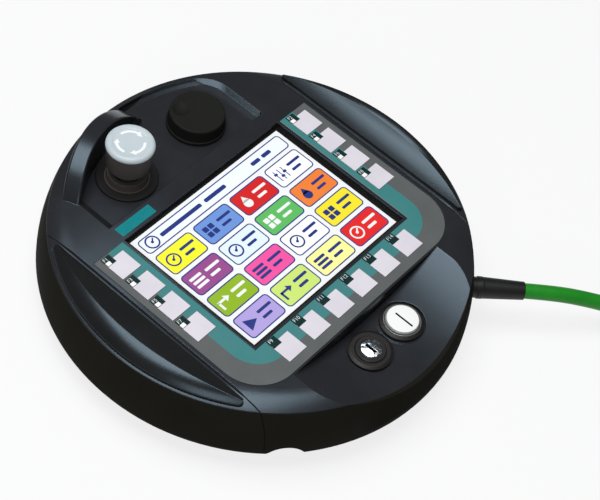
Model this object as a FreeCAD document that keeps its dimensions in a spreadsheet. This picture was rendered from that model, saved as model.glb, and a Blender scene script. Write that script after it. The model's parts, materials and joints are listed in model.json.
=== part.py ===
import FreeCAD, Part
import Sketcher
import math
import os

# Round handheld operator panel: millimetres, +Z out of the front face, origin in the middle of the
# rear face that the panel lies on, +Y towards the stop button, +X to the right of the display.

SIZES = {
    # housing
    "disc_dia": 245, "crown_round": 32, "crown_drop": 2.8, "face_height": 50,
    "belly_height": 17.5, "foot_round": 8, "hub_round": 3, "wall": 2.6, "face_wall": 3, "seam_gap": 0.3,
    "seam_groove": 1.3, "fit_gap": 0.1, "slip_gap": 0.05, "run_gap": 0.3, "edge_break": 0.5, "overrun": 1,
    # soft pads of the side grips
    "pad_rise": 5, "pad_slope_radius": 48, "pad_sink": 3,
    # display and membrane keypad
    "gasket_thick": 0.5, "glass_thick": 1.8, "lcd_thick": 9, "film_thick": 0.5, "key_gap": 0.2,
    "key_proud": 0.3, "key_depth": 1.5, "key_travel": 0.4, "keyboard_thick": 1.6, "keyboard_gap": 0.5,
    # control recesses and the guard horn
    "recess_depth": 6, "recess_bend": 4, "horn_middle": 108.25, "horn_sweep": 45.5, "horn_arc": 40.5,
    "horn_rise": 17, "horn_round": 1.2, "scoop_depth": 12, "seat_rise": 0.6,
    # stop button
    "stop_collar_thick": 1.6, "stop_ring_height": 6, "stop_ring_taper": 0.4, "stop_travel": 5.8,
    "stop_skirt_height": 15.4, "stop_skirt_foot": 1.2, "stop_cap_height": 3, "stop_cap_round": 2.3,
    "stop_cap_inset": 0.4, "stop_dish_depth": 0.3, "stop_pin_reach": 1.2, "stop_nut_thick": 4,
    "stop_block_height": 20, "stop_stem_depth": 14,
    # handwheel
    "wheel_height": 10.2, "wheel_flange": 1.6, "wheel_step": 0.4, "wheel_round": 1.2, "wheel_bush_depth": 8,
    "shaft_cover": 3, "shaft_reach": 5, "dimple_depth": 1.5, "encoder_height": 17,
    # key switch and lit button
    "bezel_height": 2.6, "bezel_slope": 0.8, "lock_proud": 0.7, "lock_depth": 16, "plug_proud": 0.4,
    "keyway_depth": 6, "lock_nut_thick": 4, "lens_proud": 1.6, "lens_edge": 0.7, "lens_depth": 2.4,
    "lens_travel": 2.5, "lens_stem_length": 6, "lamp_block_height": 17, "ring_sink": 1, "ring_proud": 0.3,
    # rear: terminal cover, screws, enabling bars, notch and seal
    "cover_thick": 1.8, "ledge_thick": 3.2, "cover_screw_head": 5, "cover_screw_dia": 2.8,
    "cover_screw_inset": 4.2, "cover_screw_length": 4, "cover_screw_sink": 1.1, "post_dia": 9,
    "rear_post_dia": 11, "screw_head_dia": 6.8, "screw_head_thick": 2.8, "screw_dia": 3.2,
    "screw_reach": 12, "pilot_depth": 13, "screw_sink": 3.5, "screw_gap": 0.4, "bar_half_angle": 26,
    "bar_gap_angle": 0.3, "bar_drop": 4.5, "bar_travel": 3, "bar_lip": 1.8, "bar_lip_angle": 1.2,
    "bar_lip_thick": 2, "switch_block_height": 15, "notch_angle": -131, "notch_level": 10,
    "notch_wall": 2.4, "seal_width": 1.2, "seal_thick": 0.8,
    # circuit boards
    "board_thick": 1.6, "board_level": 22, "board_post_dia": 8, "board_screw_dia": 2.5,
    "board_screw_head": 5, "board_head_thick": 1.6, "board_screw_length": 8, "terminal_level": 9,
    # strain relief and cable
    "outlet_angle": -54.25, "outlet_heading": -48.2, "outlet_height": 27, "outlet_reach": 1.6,
    "boot_length": 27, "boot_root_dia": 12.4, "boot_end_dia": 10.4, "boot_collar_dia": 12.8,
    "boot_collar": 2.5, "boot_shoulder": 0.8, "gland_dia": 12, "gland_length": 16, "gland_hole_length": 24,
    "gland_nut_dia": 16, "gland_nut_thick": 4, "gland_nut_inset": 3.2, "cable_dia": 9, "cable_start": 19,
    # put-away cable: coil, tie, tail and connector, with the coil's middle measured from the outlet
    "coil_mean_dia": 107, "coil_floor": 1.4, "coil_layers": 3, "coil_rows": 2, "coil_right": 140.35,
    "coil_down": 80.08, "tie_width": 5, "tie_thick": 1.2, "tail_angle": 0, "tail_length": 45,
    "connector_dia": 17, "connector_length": 48, "connector_tail_dia": 11, "connector_tail": 14,
    "connector_cone": 10, "connector_flare": 1, "coupling_dia": 21, "coupling_length": 16,
    "coupling_place": 28, "socket_dia": 13, "socket_depth": 12,
}

# Lengths across a panel of this diameter: they grow and shrink with the disc.
PLAN_DIA = 245
PLAN = {
    # housing and grips
    "rim_inset": 6, "hub_inset": 38.5, "seam_margin": 2.9, "pad_strip": 2.1, "pad_rim": 6.4,
    "pad_crest": 12.1, "pad_roll": 16, "pad_slope": 19.5, "pad_tip": 2.2,
    # display and membrane keypad
    "window_width": 125.2, "window_height": 94.2, "window_shift": -1.9, "glass_margin": 2.9,
    "lcd_inset": 2, "film_gap": 1.7, "film_band": 21.7, "film_top_drop": 0.2, "film_shelf_band": 22.8,
    "film_corner": 24.5, "key_size": 13.6, "key_stem_dia": 5, "key_row_drop": 11.15, "key_row_pitch": 18,
    "key_row_gap": 10.4, "key_bottom_pitch": 19.9, "keyboard_inset": 1,
    # control recesses and the guard horn
    "upper_band": 10.8, "recess_right": 61.3, "recess_left": 63.3, "recess_slope": 6.4,
    "recess_corner": 22, "recess_floor_inset": 10.2, "recess_bend_inset": 8.8, "recess_top_inset": 8,
    "horn_inner_inset": 22, "horn_outer_inset": 12, "scoop_gap": 1.1, "scoop_half_width": 61,
    "seat_dia": 27,
    # stop button and handwheel
    "stop_x": -27, "stop_y": 77.6, "stop_collar_dia": 35.4, "stop_neck_dia": 22, "stop_ring_dia": 24,
    "stop_stem_dia": 16, "stop_skirt_dia": 24.8, "stop_skirt_top_dia": 26.8, "stop_cap_dia": 27.4,
    "stop_dish_dia": 20, "stop_pin_dia": 8, "stop_nut_dia": 30, "stop_block_width": 30,
    "wheel_x": 31, "wheel_y": 79.2, "wheel_base_dia": 34.6, "wheel_dia": 32.4, "wheel_shaft_dia": 6,
    "wheel_bush_dia": 12, "dimple_dia": 10.4, "dimple_x": -5.6, "dimple_y": 7.5, "encoder_width": 28,
    # key switch and lit button
    "switch_x": 13.6, "switch_y": 89.7, "bezel_dia": 25, "lock_dia": 17.3, "plug_dia": 12.3,
    "keyway_width": 1.8, "keyway_length": 7, "lock_nut_dia": 24, "lens_dia": 19.2, "ring_width": 0.7,
    "lens_stem_dia": 8, "lamp_block_width": 24,
    # rear
    "cover_width": 84, "cover_height": 60, "ledge": 8, "screw_upper_x": 78, "screw_upper_y": 62,
    "screw_lower_x": 66, "screw_lower_y": 80, "screw_top_y": 107, "screw_bottom_y": 108,
    "bar_inner_inset": 30.5, "bar_outer_inset": 14.5, "switch_block_inset": 17, "switch_block_length": 30,
    "notch_dia": 22, "notch_length": 12,
    # circuit boards
    "board_width": 116, "board_height": 84, "board_inset": 6, "terminal_width": 104, "terminal_height": 46,
}

# Free cable from the end of its straight start to the coil, chosen by hand: right of the outlet, below it
# on the drawing, and height.
CABLE_ROUTE = [
    (45.95, 50.5, 22.2),
    (62.15, 67.9, 14.6),
    (79.45, 94.2, 7.4),
    (92.85, 113.4, 5.9),
]


class Size:
    """A length with the sheet expression that gives it."""

    def __init__(self, value, text):
        self.value = float(value)
        self.text = text

    def __add__(self, other):
        other = as_size(other)
        return Size(self.value + other.value, f"({self.text} + {other.text})")

    def __radd__(self, other):
        return as_size(other) + self

    def __sub__(self, other):
        other = as_size(other)
        return Size(self.value - other.value, f"({self.text} - {other.text})")

    def __rsub__(self, other):
        return as_size(other) - self

    def __mul__(self, other):
        other = as_size(other)
        return Size(self.value * other.value, f"({self.text} * {other.text})")

    def __rmul__(self, other):
        return as_size(other) * self

    def __truediv__(self, other):
        other = as_size(other)
        return Size(self.value / other.value, f"({self.text} / {other.text})")

    def __neg__(self):
        return Size(-self.value, f"(0 - {self.text})")


def as_size(number):
    if isinstance(number, Size):
        return number
    return Size(number, f"({number:.6g})")


def cosine(size):
    return Size(math.cos(math.radians(size.value)), f"cos({size.text} * 1 deg)")


def sine(size):
    return Size(math.sin(math.radians(size.value)), f"sin({size.text} * 1 deg)")


def root(size):
    return Size(math.sqrt(size.value), f"sqrt({size.text})")


doc = FreeCAD.newDocument("mobile_panel")
sheet = doc.addObject("Spreadsheet::Sheet", "sizes")
for row, (alias, number) in enumerate({**SIZES, **PLAN}.items(), 1):
    sheet.set(f"A{row}", alias)
    sheet.set(f"B{row}", str(number))
    sheet.setAlias(f"B{row}", alias)
doc.recompute()


class Table:
    """The sheet's cells by name, each as a Size. Those across the panel follow the disc."""

    def __getattr__(self, alias):
        cell = Size(sheet.get(alias), "sizes." + alias)
        if alias in PLAN:
            return cell * self.disc_dia / PLAN_DIA
        return cell


size = Table()
over = size.overrun
pieces = []


def vector(x, y, z):
    return FreeCAD.Vector(as_size(x).value, as_size(y).value, as_size(z).value)


def bind(item, field, amount):
    item.setExpression(field, as_size(amount).text)


def place(item, x, y, z, rotation=None):
    item.Placement = FreeCAD.Placement(vector(x, y, z), rotation or FreeCAD.Rotation())
    for axis, amount in zip("xyz", (x, y, z)):
        bind(item, "Placement.Base." + axis, amount)
    return item


def node(item):
    pieces.append(item)
    return item


def box(name, low, high):
    item = doc.addObject("Part::Box", name)
    for field, start, end in zip(("Length", "Width", "Height"), low, high):
        bind(item, field, as_size(end) - start)
    return place(item, *low)


def rod(name, dia, low, high, x=0, y=0):
    item = doc.addObject("Part::Cylinder", name)
    bind(item, "Radius", as_size(dia) / 2)
    bind(item, "Height", as_size(high) - low)
    return place(item, x, y, low)


def lying_rod(name, dia, length, start, heading):
    """A round bar from start, level, in the direction of a heading in degrees about +Z."""
    item = doc.addObject("Part::Cylinder", name)
    bind(item, "Radius", as_size(dia) / 2)
    bind(item, "Height", length)
    return place(item, *start, level(heading))


def level(heading):
    angle = math.radians(as_size(heading).value)
    direction = FreeCAD.Vector(math.cos(angle), math.sin(angle), 0)
    return FreeCAD.Rotation(FreeCAD.Vector(0, 0, 1), direction)


def sector(name, inner, outer, low, high, start, sweep):
    """Part of a ring between two radii, from a start angle round through a sweep, in degrees."""
    turn = FreeCAD.Rotation(FreeCAD.Vector(0, 0, 1), as_size(start).value)
    rings = []
    for label, radius in (("outer", outer), ("inner", inner)):
        ring = doc.addObject("Part::Cylinder", f"{name}_{label}")
        bind(ring, "Radius", radius)
        bind(ring, "Height", as_size(high) - low)
        bind(ring, "Angle", sweep)
        rings.append(place(ring, 0, 0, low, turn))
    return cut(name, rings[0], [rings[1]])


def joined(kind, name, shapes):
    item = doc.addObject(kind, name)
    item.Shapes = shapes
    return item


def fuse(name, shapes):
    return joined("Part::MultiFuse", name, shapes)


def common(name, shapes):
    return joined("Part::MultiCommon", name, shapes)


def cut(name, base, tools):
    item = doc.addObject("Part::Cut", name)
    item.Base = base
    item.Tool = tools[0] if len(tools) == 1 else fuse(name + "_tools", tools)
    return item


def outline(sketch, corners):
    """A closed line through the corners. A corner is (x, y), or (x, y, radius, turn) where an arc leads to
    the next corner, turning left for +1 and right for -1."""
    corners = [tuple(as_size(part) for part in corner) for corner in corners]
    edges = []
    rules = []
    bound = []
    for corner, following in zip(corners, corners[1:] + corners[:1]):
        start = vector(corner[0], corner[1], 0)
        end = vector(following[0], following[1], 0)
        if len(corner) == 2:
            edges.append((sketch.addGeometry(Part.LineSegment(start, end)), 1, 2))
            continue
        radius, turn = corner[2], corner[3].value
        chord = end - start
        rise = math.sqrt(max(radius.value ** 2 - chord.Length ** 2 / 4, 0))
        left = FreeCAD.Vector(-chord.y, chord.x, 0).normalize()
        centre = (start + end) * 0.5 + left * (rise * turn)
        first, last = (start, end) if turn > 0 else (end, start)
        angles = [math.atan2(point.y - centre.y, point.x - centre.x) for point in (first, last)]
        circle = Part.Circle(centre, FreeCAD.Vector(0, 0, 1), radius.value)
        index = sketch.addGeometry(Part.ArcOfCircle(circle, *angles))
        edges.append((index, 1, 2) if turn > 0 else (index, 2, 1))
        rules.append(("Radius", index, radius))
    links = []
    for edge, following in zip(edges, edges[1:] + edges[:1]):
        links.append(Sketcher.Constraint("Coincident", edge[0], edge[2], following[0], following[1]))
    for edge, corner in zip(edges, corners):
        for kind, axis, amount in (("DistanceX", -2, corner[0]), ("DistanceY", -1, corner[1])):
            if amount.text == "(0)":
                links.append(Sketcher.Constraint("PointOnObject", edge[0], edge[1], axis))
            else:
                bound.append((len(links), amount))
                links.append(Sketcher.Constraint(kind, -1, 1, edge[0], edge[1], amount.value))
    for kind, index, radius in rules:
        bound.append((len(links), radius))
        links.append(Sketcher.Constraint(kind, index, radius.value))
    sketch.addConstraint(links)
    for index, amount in bound:
        sketch.setExpression(f"Constraints[{index}]", amount.text)


def sketch_in(body, name, role, corners, offset=None):
    sketch = body.newObject("Sketcher::SketchObject", name)
    plane = [feature for feature in body.Origin.OriginFeatures if feature.Role == role][0]
    sketch.AttachmentSupport = [(plane, "")]
    sketch.MapMode = "FlatFace"
    if offset is not None:
        bind(sketch, "AttachmentOffset.Base.z", offset)
    outline(sketch, corners)
    return sketch


def turned(name, corners, x=0, y=0, z=0, rotation=None):
    """A body turned about its own Z axis from a profile of (radius, height) corners."""
    body = doc.addObject("PartDesign::Body", name)
    profile = sketch_in(body, name + "_profile", "XZ_Plane", corners)
    turning = body.newObject("PartDesign::Revolution", name + "_turning")
    turning.Profile = profile
    turning.ReferenceAxis = (profile, ["V_Axis"])
    turning.Angle = 360
    body.Tip = turning
    return place(body, x, y, z, rotation)


def plate(name, corners, low, thick):
    """A flat body of one thickness, from an outline seen from the front."""
    body = doc.addObject("PartDesign::Body", name)
    sketch = sketch_in(body, name + "_outline", "XY_Plane", corners, low)
    pad = body.newObject("PartDesign::Pad", name + "_pad")
    pad.Profile = sketch
    bind(pad, "Length", thick)
    body.Tip = pad
    return body


def rounded(name, base, radius, chosen):
    """A copy of base with the edges that chosen picks rounded off."""
    doc.recompute()
    item = doc.addObject("Part::Fillet", name)
    item.Base = base
    item.Edges = [(number, radius.value, radius.value)
                  for number, edge in enumerate(base.Shape.Edges, 1) if chosen(edge)]
    return item


def ring(name, inner, outer, low, high, x=0, y=0):
    return turned(name, [(inner, low), (outer, low), (outer, high), (inner, high)], x, y)


# Main levels
disc = size.disc_dia / 2
face = size.face_height
belly = size.belly_height
ceiling = face - size.face_wall
underside = belly - size.foot_round
upper_floor = face - size.recess_depth
lower_floor = face - size.scoop_depth
upper_ceiling = upper_floor - size.wall
lower_ceiling = lower_floor - size.wall
far = disc + size.foot_round

# Lines across the face: the window, the printed film round it, and the seams beside the film
window_x = size.window_width / 2
window_low = size.window_shift - size.window_height / 2
window_high = size.window_shift + size.window_height / 2
film_inner = window_x + size.film_gap
film_half = film_inner + size.film_band
film_top = window_high - size.film_top_drop
film_shelf = window_low - size.film_gap
film_bottom = film_shelf - size.film_shelf_band
seam_middle = film_half + size.seam_margin
seam = seam_middle - size.seam_gap / 2
grip_seam = seam_middle + size.seam_gap / 2
scoop_wall = film_bottom - size.scoop_gap
recess_front = window_high + size.upper_band
cavity_half = seam - size.wall
cavity_front = scoop_wall + size.wall
cavity_back = recess_front - size.wall
SIDES = (("left", -1), ("right", 1))


def both_ways(name, side, near, end, back, front, low, high):
    """A box on the left (-1) or right (+1) of the middle, between two distances from it."""
    if side > 0:
        return box(name, (near, back, low), (end, front, high))
    return box(name, (-as_size(end), back, low), (-as_size(near), front, high))


# Blank of the front half: a wall that bulges towards the parting line, and a face that falls to its rim
blank_height = face - belly
wall_bow = (blank_height * blank_height + size.rim_inset * size.rim_inset) / (size.rim_inset * 2)
edge_height = blank_height - size.crown_drop
crown_edge = disc - wall_bow + root(wall_bow * wall_bow - edge_height * edge_height)
crown_run = root(size.crown_drop * (size.crown_round * 2 - size.crown_drop))
front_blank = turned("front_blank", [
    (0, belly), (disc, belly, wall_bow, 1), (crown_edge, face - size.crown_drop, size.crown_round, 1),
    (crown_edge - crown_run, face), (0, face)])
inner_cone = doc.addObject("Part::Cone", "inner_cone")
bind(inner_cone, "Radius1", disc - size.wall)
bind(inner_cone, "Radius2", crown_edge - size.wall * 1.5)
bind(inner_cone, "Height", ceiling - belly)
place(inner_cone, 0, 0, belly)

# Screw positions, shared by the two halves and their screws
SCREW_POINTS = [
    (size.screw_upper_x, size.screw_upper_y, upper_ceiling),
    (-size.screw_upper_x, size.screw_upper_y, upper_ceiling),
    (size.screw_lower_x, -size.screw_lower_y, lower_ceiling),
    (-size.screw_lower_x, -size.screw_lower_y, lower_ceiling),
    (as_size(0), size.screw_top_y, upper_ceiling),
    (as_size(0), -size.screw_bottom_y, lower_ceiling),
]

# Function keys: two columns of four beside the display, and a row of six under it
SIDE_ROWS = 4
BOTTOM_KEYS = 6
key_column = (film_inner + film_half) / 2
KEY_POINTS = []
for row in range(SIDE_ROWS):
    for label, side in SIDES:
        KEY_POINTS.append((side * key_column, window_high - size.key_row_drop - row * size.key_row_pitch))
for column in range(BOTTOM_KEYS):
    step = column - (BOTTOM_KEYS - 1) / 2
    KEY_POINTS.append((step * size.key_bottom_pitch, film_shelf - size.key_row_gap))


def film_outline(gap):
    half = film_half - gap
    top = film_top - gap
    inner = film_inner + gap
    bottom = film_bottom + gap
    shelf = film_shelf - gap
    corner = size.film_corner
    return [(-half, top), (-half, bottom + corner, corner, 1), (-half + corner, bottom),
            (half - corner, bottom, corner, 1), (half, bottom + corner), (half, top),
            (inner, top), (inner, shelf), (-inner, shelf), (-inner, top)]


def key_box(name, point, grow, low, high):
    half = size.key_size / 2 + grow
    x, y = point
    return box(name, (x - half, y - half, low), (x + half, y + half, high))


def notch_rod(name, dia, start, length):
    return lying_rod(name, dia, length, (start * cosine(size.notch_angle), start * sine(size.notch_angle),
                                         size.notch_level), size.notch_angle)


notch_start = disc - size.notch_length
notch = notch_rod("notch", size.notch_dia, notch_start, size.notch_length * 2)
notch_sleeve = notch_rod("notch_sleeve", size.notch_dia + size.notch_wall * 2,
                         notch_start - size.notch_wall, size.notch_length * 2)
seam_grooves = [lying_rod(f"{label}_seam_groove", size.seam_groove, far * 2,
                          (side * seam_middle, -far, face), 90) for label, side in SIDES]

# Front shell
middle = box("front_middle", (-seam, -far, belly), (seam, far, face + over))
front_centre = common("front_centre", [front_blank, middle])
display_cavity = box("display_cavity", (-cavity_half, cavity_front, belly - over),
                     (cavity_half, cavity_back, ceiling))
upper_cavity = common("upper_cavity", [inner_cone, box(
    "upper_cavity_box", (-cavity_half, cavity_back - over, belly - over),
    (cavity_half, far, upper_ceiling))])
lower_cavity = common("lower_cavity", [inner_cone, box(
    "lower_cavity_box", (-cavity_half, -far, belly - over),
    (cavity_half, cavity_front + over, lower_ceiling))])
hollow = cut("front_hollow", front_centre, [display_cavity, upper_cavity, lower_cavity])
front_notch = common("front_notch", [front_centre, notch_sleeve])

# Upper recess: a dish with a steep far wall, a rounded corner on its right and a slope on its left
recess_top = disc - size.recess_top_inset
dish = turned("recess_dish", [
    (0, upper_floor), (disc - size.recess_floor_inset, upper_floor),
    (disc - size.recess_bend_inset, face - size.recess_bend), (recess_top, face), (recess_top, face + over),
    (0, face + over)])
corner_x = size.recess_right - size.recess_corner
corner_reach = recess_top - size.recess_corner
corner_y = root(corner_reach * corner_reach - corner_x * corner_x)
corner_grow = recess_top / corner_reach
corner_run = size.recess_right / corner_reach
recess_sides = plate("recess_sides", [
    (-far, recess_front), (size.recess_right, recess_front),
    (size.recess_right, corner_y, size.recess_corner, 1), (corner_x * corner_grow, corner_y * corner_grow),
    (corner_x * corner_grow - corner_y * corner_run, corner_y * corner_grow + corner_x * corner_run),
    (-far, far)], upper_floor, size.recess_depth + over)
left_slope = doc.addObject("Part::Wedge", "recess_left_slope")
for field, amount in (
        ("Xmin", size.recess_slope - size.recess_left), ("X2min", -size.recess_left - size.recess_slope),
        ("Xmax", far), ("X2max", far), ("Ymin", 0), ("Ymax", size.recess_depth * 2),
        ("Zmin", -far), ("Z2min", -far), ("Zmax", 0), ("Z2max", 0)):
    bind(left_slope, field, amount)
place(left_slope, 0, 0, upper_floor, FreeCAD.Rotation(FreeCAD.Vector(1, 0, 0), 90))
recess = common("upper_recess", [common("recess_right_part", [dish, recess_sides]), left_slope])

scoop_radius = (size.scoop_half_width * size.scoop_half_width + size.scoop_depth * size.scoop_depth)
scoop_radius = scoop_radius / (size.scoop_depth * 2)
scoop = lying_rod("lower_recess", scoop_radius * 2, far + scoop_wall,
                  (0, scoop_wall, lower_floor + scoop_radius), -90)

# Guard horn: a piece of the rim wall that humps up beside the stop button
horn_inner = disc - size.horn_inner_inset
horn_outer = disc - size.horn_outer_inset
horn_start = size.horn_middle - size.horn_sweep / 2
horn_span = (horn_inner + horn_outer) / 2 * sine(size.horn_arc / 2)
horn_radius = (horn_span * horn_span + size.horn_rise * size.horn_rise) / (size.horn_rise * 2)
horn_low = upper_floor - over
horn_high = face + size.horn_rise
horn_hump = lying_rod("horn_hump", horn_radius * 2, far, (0, 0, horn_high - horn_radius), size.horn_middle)
horn_sharp = common("horn_sharp", [
    sector("horn_blank", horn_inner, horn_outer, horn_low, horn_high + over, horn_start, size.horn_sweep),
    horn_hump])
horn_root = common("horn_root", [common("horn_root_hump", [
    sector("horn_root_blank", horn_inner, recess_top + over, horn_low, face, horn_start, size.horn_sweep),
    horn_hump]), front_blank])


def along_hump(edge):
    return edge.BoundBox.ZMax > (horn_high - size.horn_round).value and edge.Length > horn_span.value


horn = rounded("horn", horn_sharp, size.horn_round, along_hump)

seat_level = lower_floor + size.seat_rise
switch_seats = [rod(f"{label}_seat", size.seat_dia, lower_ceiling, seat_level,
                    side * size.switch_x, -size.switch_y) for label, side in SIDES]
seat_clearances = [rod(f"{label}_seat_clearance", size.seat_dia, seat_level, face,
                       side * size.switch_x, -size.switch_y) for label, side in SIDES]
posts = [rod(f"front_post_{number}", size.post_dia, belly, top + over, x, y)
         for number, (x, y, top) in enumerate(SCREW_POINTS, 1)]
dished = cut("front_dished", fuse("front_posts", [hollow, front_notch] + posts),
             [recess, scoop] + seat_clearances)
carried = fuse("front_carried", [dished, horn, horn_root] + switch_seats)

outlet_radius = disc + size.outlet_reach
outlet = (outlet_radius * cosine(size.outlet_angle), outlet_radius * sine(size.outlet_angle),
          size.outlet_height)
outlet_turn = level(size.outlet_heading)


def along_outlet(distance):
    return (outlet[0] + cosine(size.outlet_heading) * distance,
            outlet[1] + sine(size.outlet_heading) * distance, outlet[2])


film_level = face - size.film_thick
key_floor = face - size.key_depth
lens_hole = size.lens_dia + size.run_gap * 2
front_cuts = seam_grooves + [
    notch,
    box("window", (-window_x, window_low, ceiling - over), (window_x, window_high, face + over)),
    plate("film_pocket", film_outline(0), film_level, size.film_thick + over),
    rod("stop_hole", size.stop_neck_dia + size.fit_gap * 2, upper_ceiling - over, upper_floor + over,
        size.stop_x, size.stop_y),
    rod("wheel_hole", size.wheel_bush_dia + size.fit_gap * 2, upper_ceiling - over, upper_floor + over,
        size.wheel_x, size.wheel_y),
    rod("lock_hole", size.lock_dia + size.fit_gap * 2, lower_ceiling - over, face,
        -size.switch_x, -size.switch_y),
    rod("lens_hole", lens_hole, lower_ceiling - over, face, size.switch_x, -size.switch_y),
    lying_rod("gland_hole", size.gland_dia + size.fit_gap * 2, size.gland_hole_length,
              along_outlet(-size.gland_length), size.outlet_heading),
]
for number, point in enumerate(KEY_POINTS, 1):
    front_cuts.append(key_box(f"key_pocket_{number}", point, size.key_gap, key_floor, face + over))
    front_cuts.append(rod(f"key_hole_{number}", size.key_stem_dia + size.run_gap * 2, ceiling - over, face,
                          *point))
for number, (x, y, top) in enumerate(SCREW_POINTS, 1):
    front_cuts.append(rod(f"front_pilot_{number}", size.screw_dia + size.fit_gap, belly - over,
                          belly + size.pilot_depth, x, y))
node(cut("front_shell", carried, front_cuts))

# Side grips, each a hollow segment with a shallow pocket for its soft pad
pad_inner = seam_middle + size.pad_strip
pad_outer = disc - size.pad_rim
pad_crest = pad_outer - size.pad_crest
pad_floor = face - size.pad_sink
pad_top = face + size.pad_rise
roll_low = pad_top - size.pad_roll
roll_end = pad_outer + over
roll_run = roll_end - pad_crest
roll_end_height = roll_low + root(size.pad_roll * size.pad_roll - roll_run * roll_run)
pad_roll = turned("pad_roll", [
    (0, pad_floor - over), (roll_end, pad_floor - over), (roll_end, roll_end_height, size.pad_roll, 1),
    (pad_crest, pad_top), (0, pad_top)])


def upright(edge):
    return edge.BoundBox.ZLength > (size.pad_sink / 2).value


def crescent(name, side, gap, high):
    sharp = common(name + "_sharp", [
        both_ways(name + "_edge", side, pad_inner + gap, far, -far, far, pad_floor, high),
        rod(name + "_bow", (pad_outer - gap) * 2, pad_floor, high)])
    return rounded(name, sharp, size.pad_tip - gap, upright)


for (label, side), groove in zip(SIDES, seam_grooves):
    segment = common(f"{label}_segment", [
        front_blank, both_ways(f"{label}_block", side, grip_seam, far, -far, far, belly, face + over)])
    pocket = crescent(f"{label}_pocket", side, 0, face + over)
    grip_cavity = common(f"{label}_cavity", [inner_cone, both_ways(
        f"{label}_cavity_box", side, grip_seam + size.wall, far, -far, far, belly - over,
        pad_floor - size.wall)])
    node(cut(f"{label}_grip", segment, [grip_cavity, pocket, groove]))
    slope = lying_rod(f"{label}_pad_slope", size.pad_slope_radius * 2, far * 2,
                      (side * (pad_inner + size.pad_slope), -far, pad_top - size.pad_slope_radius), 90)
    rolled = common(f"{label}_pad_rolled", [
        crescent(f"{label}_crescent", side, size.fit_gap, pad_top + over), pad_roll])
    node(common(f"{label}_grip_pad", [rolled, slope]))

# Rear shell: rounded lower edge, a stepped hub, posts, and openings for the bars and the terminals
hub = disc - size.hub_inset
inside = underside + size.wall
rear_blank = turned("rear_blank", [
    (0, 0), (hub - size.hub_round, 0, size.hub_round, 1), (hub, size.hub_round), (hub, underside),
    (disc - size.foot_round, underside, size.foot_round, 1), (disc, belly), (0, belly)])
rear_hollow = turned("rear_hollow", [
    (0, size.wall), (hub - size.wall, size.wall), (hub - size.wall, inside),
    (disc - size.foot_round, inside, size.foot_round - size.wall, 1), (disc - size.wall, belly),
    (0, belly)])
rear_bowl = cut("rear_bowl", rear_blank, [rear_hollow])
rear_notch = common("rear_notch", [rear_blank, notch_sleeve])

board_x = size.board_width / 2 - size.board_inset
board_y = size.board_height / 2 - size.board_inset
terminal_x = size.terminal_width / 2 - size.board_inset
terminal_y = size.terminal_height / 2 - size.board_inset
BOARD_POINTS = [(right * board_x, up * board_y) for right in (-1, 1) for up in (-1, 1)]
TERMINAL_POINTS = [(right * terminal_x, up * terminal_y) for right in (-1, 1) for up in (-1, 1)]

rear_adds = [rear_bowl, rear_notch]
for number, (x, y, top) in enumerate(SCREW_POINTS, 1):
    rear_adds.append(rod(f"rear_post_{number}", size.rear_post_dia, underside, belly, x, y))
for number, (x, y) in enumerate(BOARD_POINTS, 1):
    rear_adds.append(rod(f"board_post_{number}", size.board_post_dia, size.wall / 2,
                         size.board_level, x, y))
for number, (x, y) in enumerate(TERMINAL_POINTS, 1):
    rear_adds.append(rod(f"terminal_post_{number}", size.board_post_dia, size.wall / 2,
                         size.terminal_level, x, y))
cover_x = size.cover_width / 2
cover_y = size.cover_height / 2
frame_grow = size.wall
rear_adds.append(box("cover_frame", (-cover_x - frame_grow, -cover_y - frame_grow, size.wall / 2),
                     (cover_x + frame_grow, cover_y + frame_grow, size.cover_thick + size.ledge_thick)))

COVER_POINTS = [(right * (cover_x - size.cover_screw_inset), up * (cover_y - size.cover_screw_inset))
                for right in (-1, 1) for up in (-1, 1)]
seal_outer = disc - size.wall / 2 + size.seal_width / 2
seal_inner = seal_outer - size.seal_width
rear_cuts = [
    notch,
    box("cover_recess", (-cover_x - size.fit_gap, -cover_y - size.fit_gap, -over),
        (cover_x + size.fit_gap, cover_y + size.fit_gap, size.cover_thick)),
    box("cover_opening", (-cover_x + size.ledge, -cover_y + size.ledge, 0),
        (cover_x - size.ledge, cover_y - size.ledge, size.cover_thick + size.ledge_thick + over)),
    ring("seal_groove", seal_inner - size.fit_gap, seal_outer + size.fit_gap,
         belly - size.seal_thick, belly + over),
]
bar_inner = disc - size.bar_inner_inset
bar_outer = disc - size.bar_outer_inset
BAR_ANGLES = {"left": 180, "right": 0}
opening_half = size.bar_half_angle + size.bar_gap_angle
for label, middle_angle in BAR_ANGLES.items():
    rear_cuts.append(sector(
        f"{label}_bar_opening", bar_inner - size.run_gap, bar_outer + size.run_gap, underside - over,
        inside + over, middle_angle - opening_half, opening_half * 2))
screw_shoulder = underside + size.screw_sink
for number, (x, y, top) in enumerate(SCREW_POINTS, 1):
    rear_cuts.append(rod(f"head_sink_{number}", size.screw_head_dia + size.screw_gap, underside - over,
                         screw_shoulder, x, y))
    rear_cuts.append(rod(f"rear_hole_{number}", size.screw_dia + size.screw_gap, underside, belly + over,
                         x, y))
for number, (x, y) in enumerate(COVER_POINTS, 1):
    rear_cuts.append(rod(f"cover_pilot_{number}", size.cover_screw_dia + size.fit_gap,
                         size.cover_thick - over, size.cover_thick + size.ledge_thick, x, y))
for label, points, top in (("board", BOARD_POINTS, size.board_level),
                           ("terminal", TERMINAL_POINTS, size.terminal_level)):
    for number, (x, y) in enumerate(points, 1):
        rear_cuts.append(rod(f"{label}_pilot_{number}", size.board_screw_dia + size.fit_gap,
                             top - size.board_screw_length + size.board_thick, top + over, x, y))
node(cut("rear_shell", fuse("rear_carried", rear_adds), rear_cuts))

node(cut("shell_seal", ring("seal_ring", seal_inner, seal_outer, belly - size.seal_thick, belly), [notch]))

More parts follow.
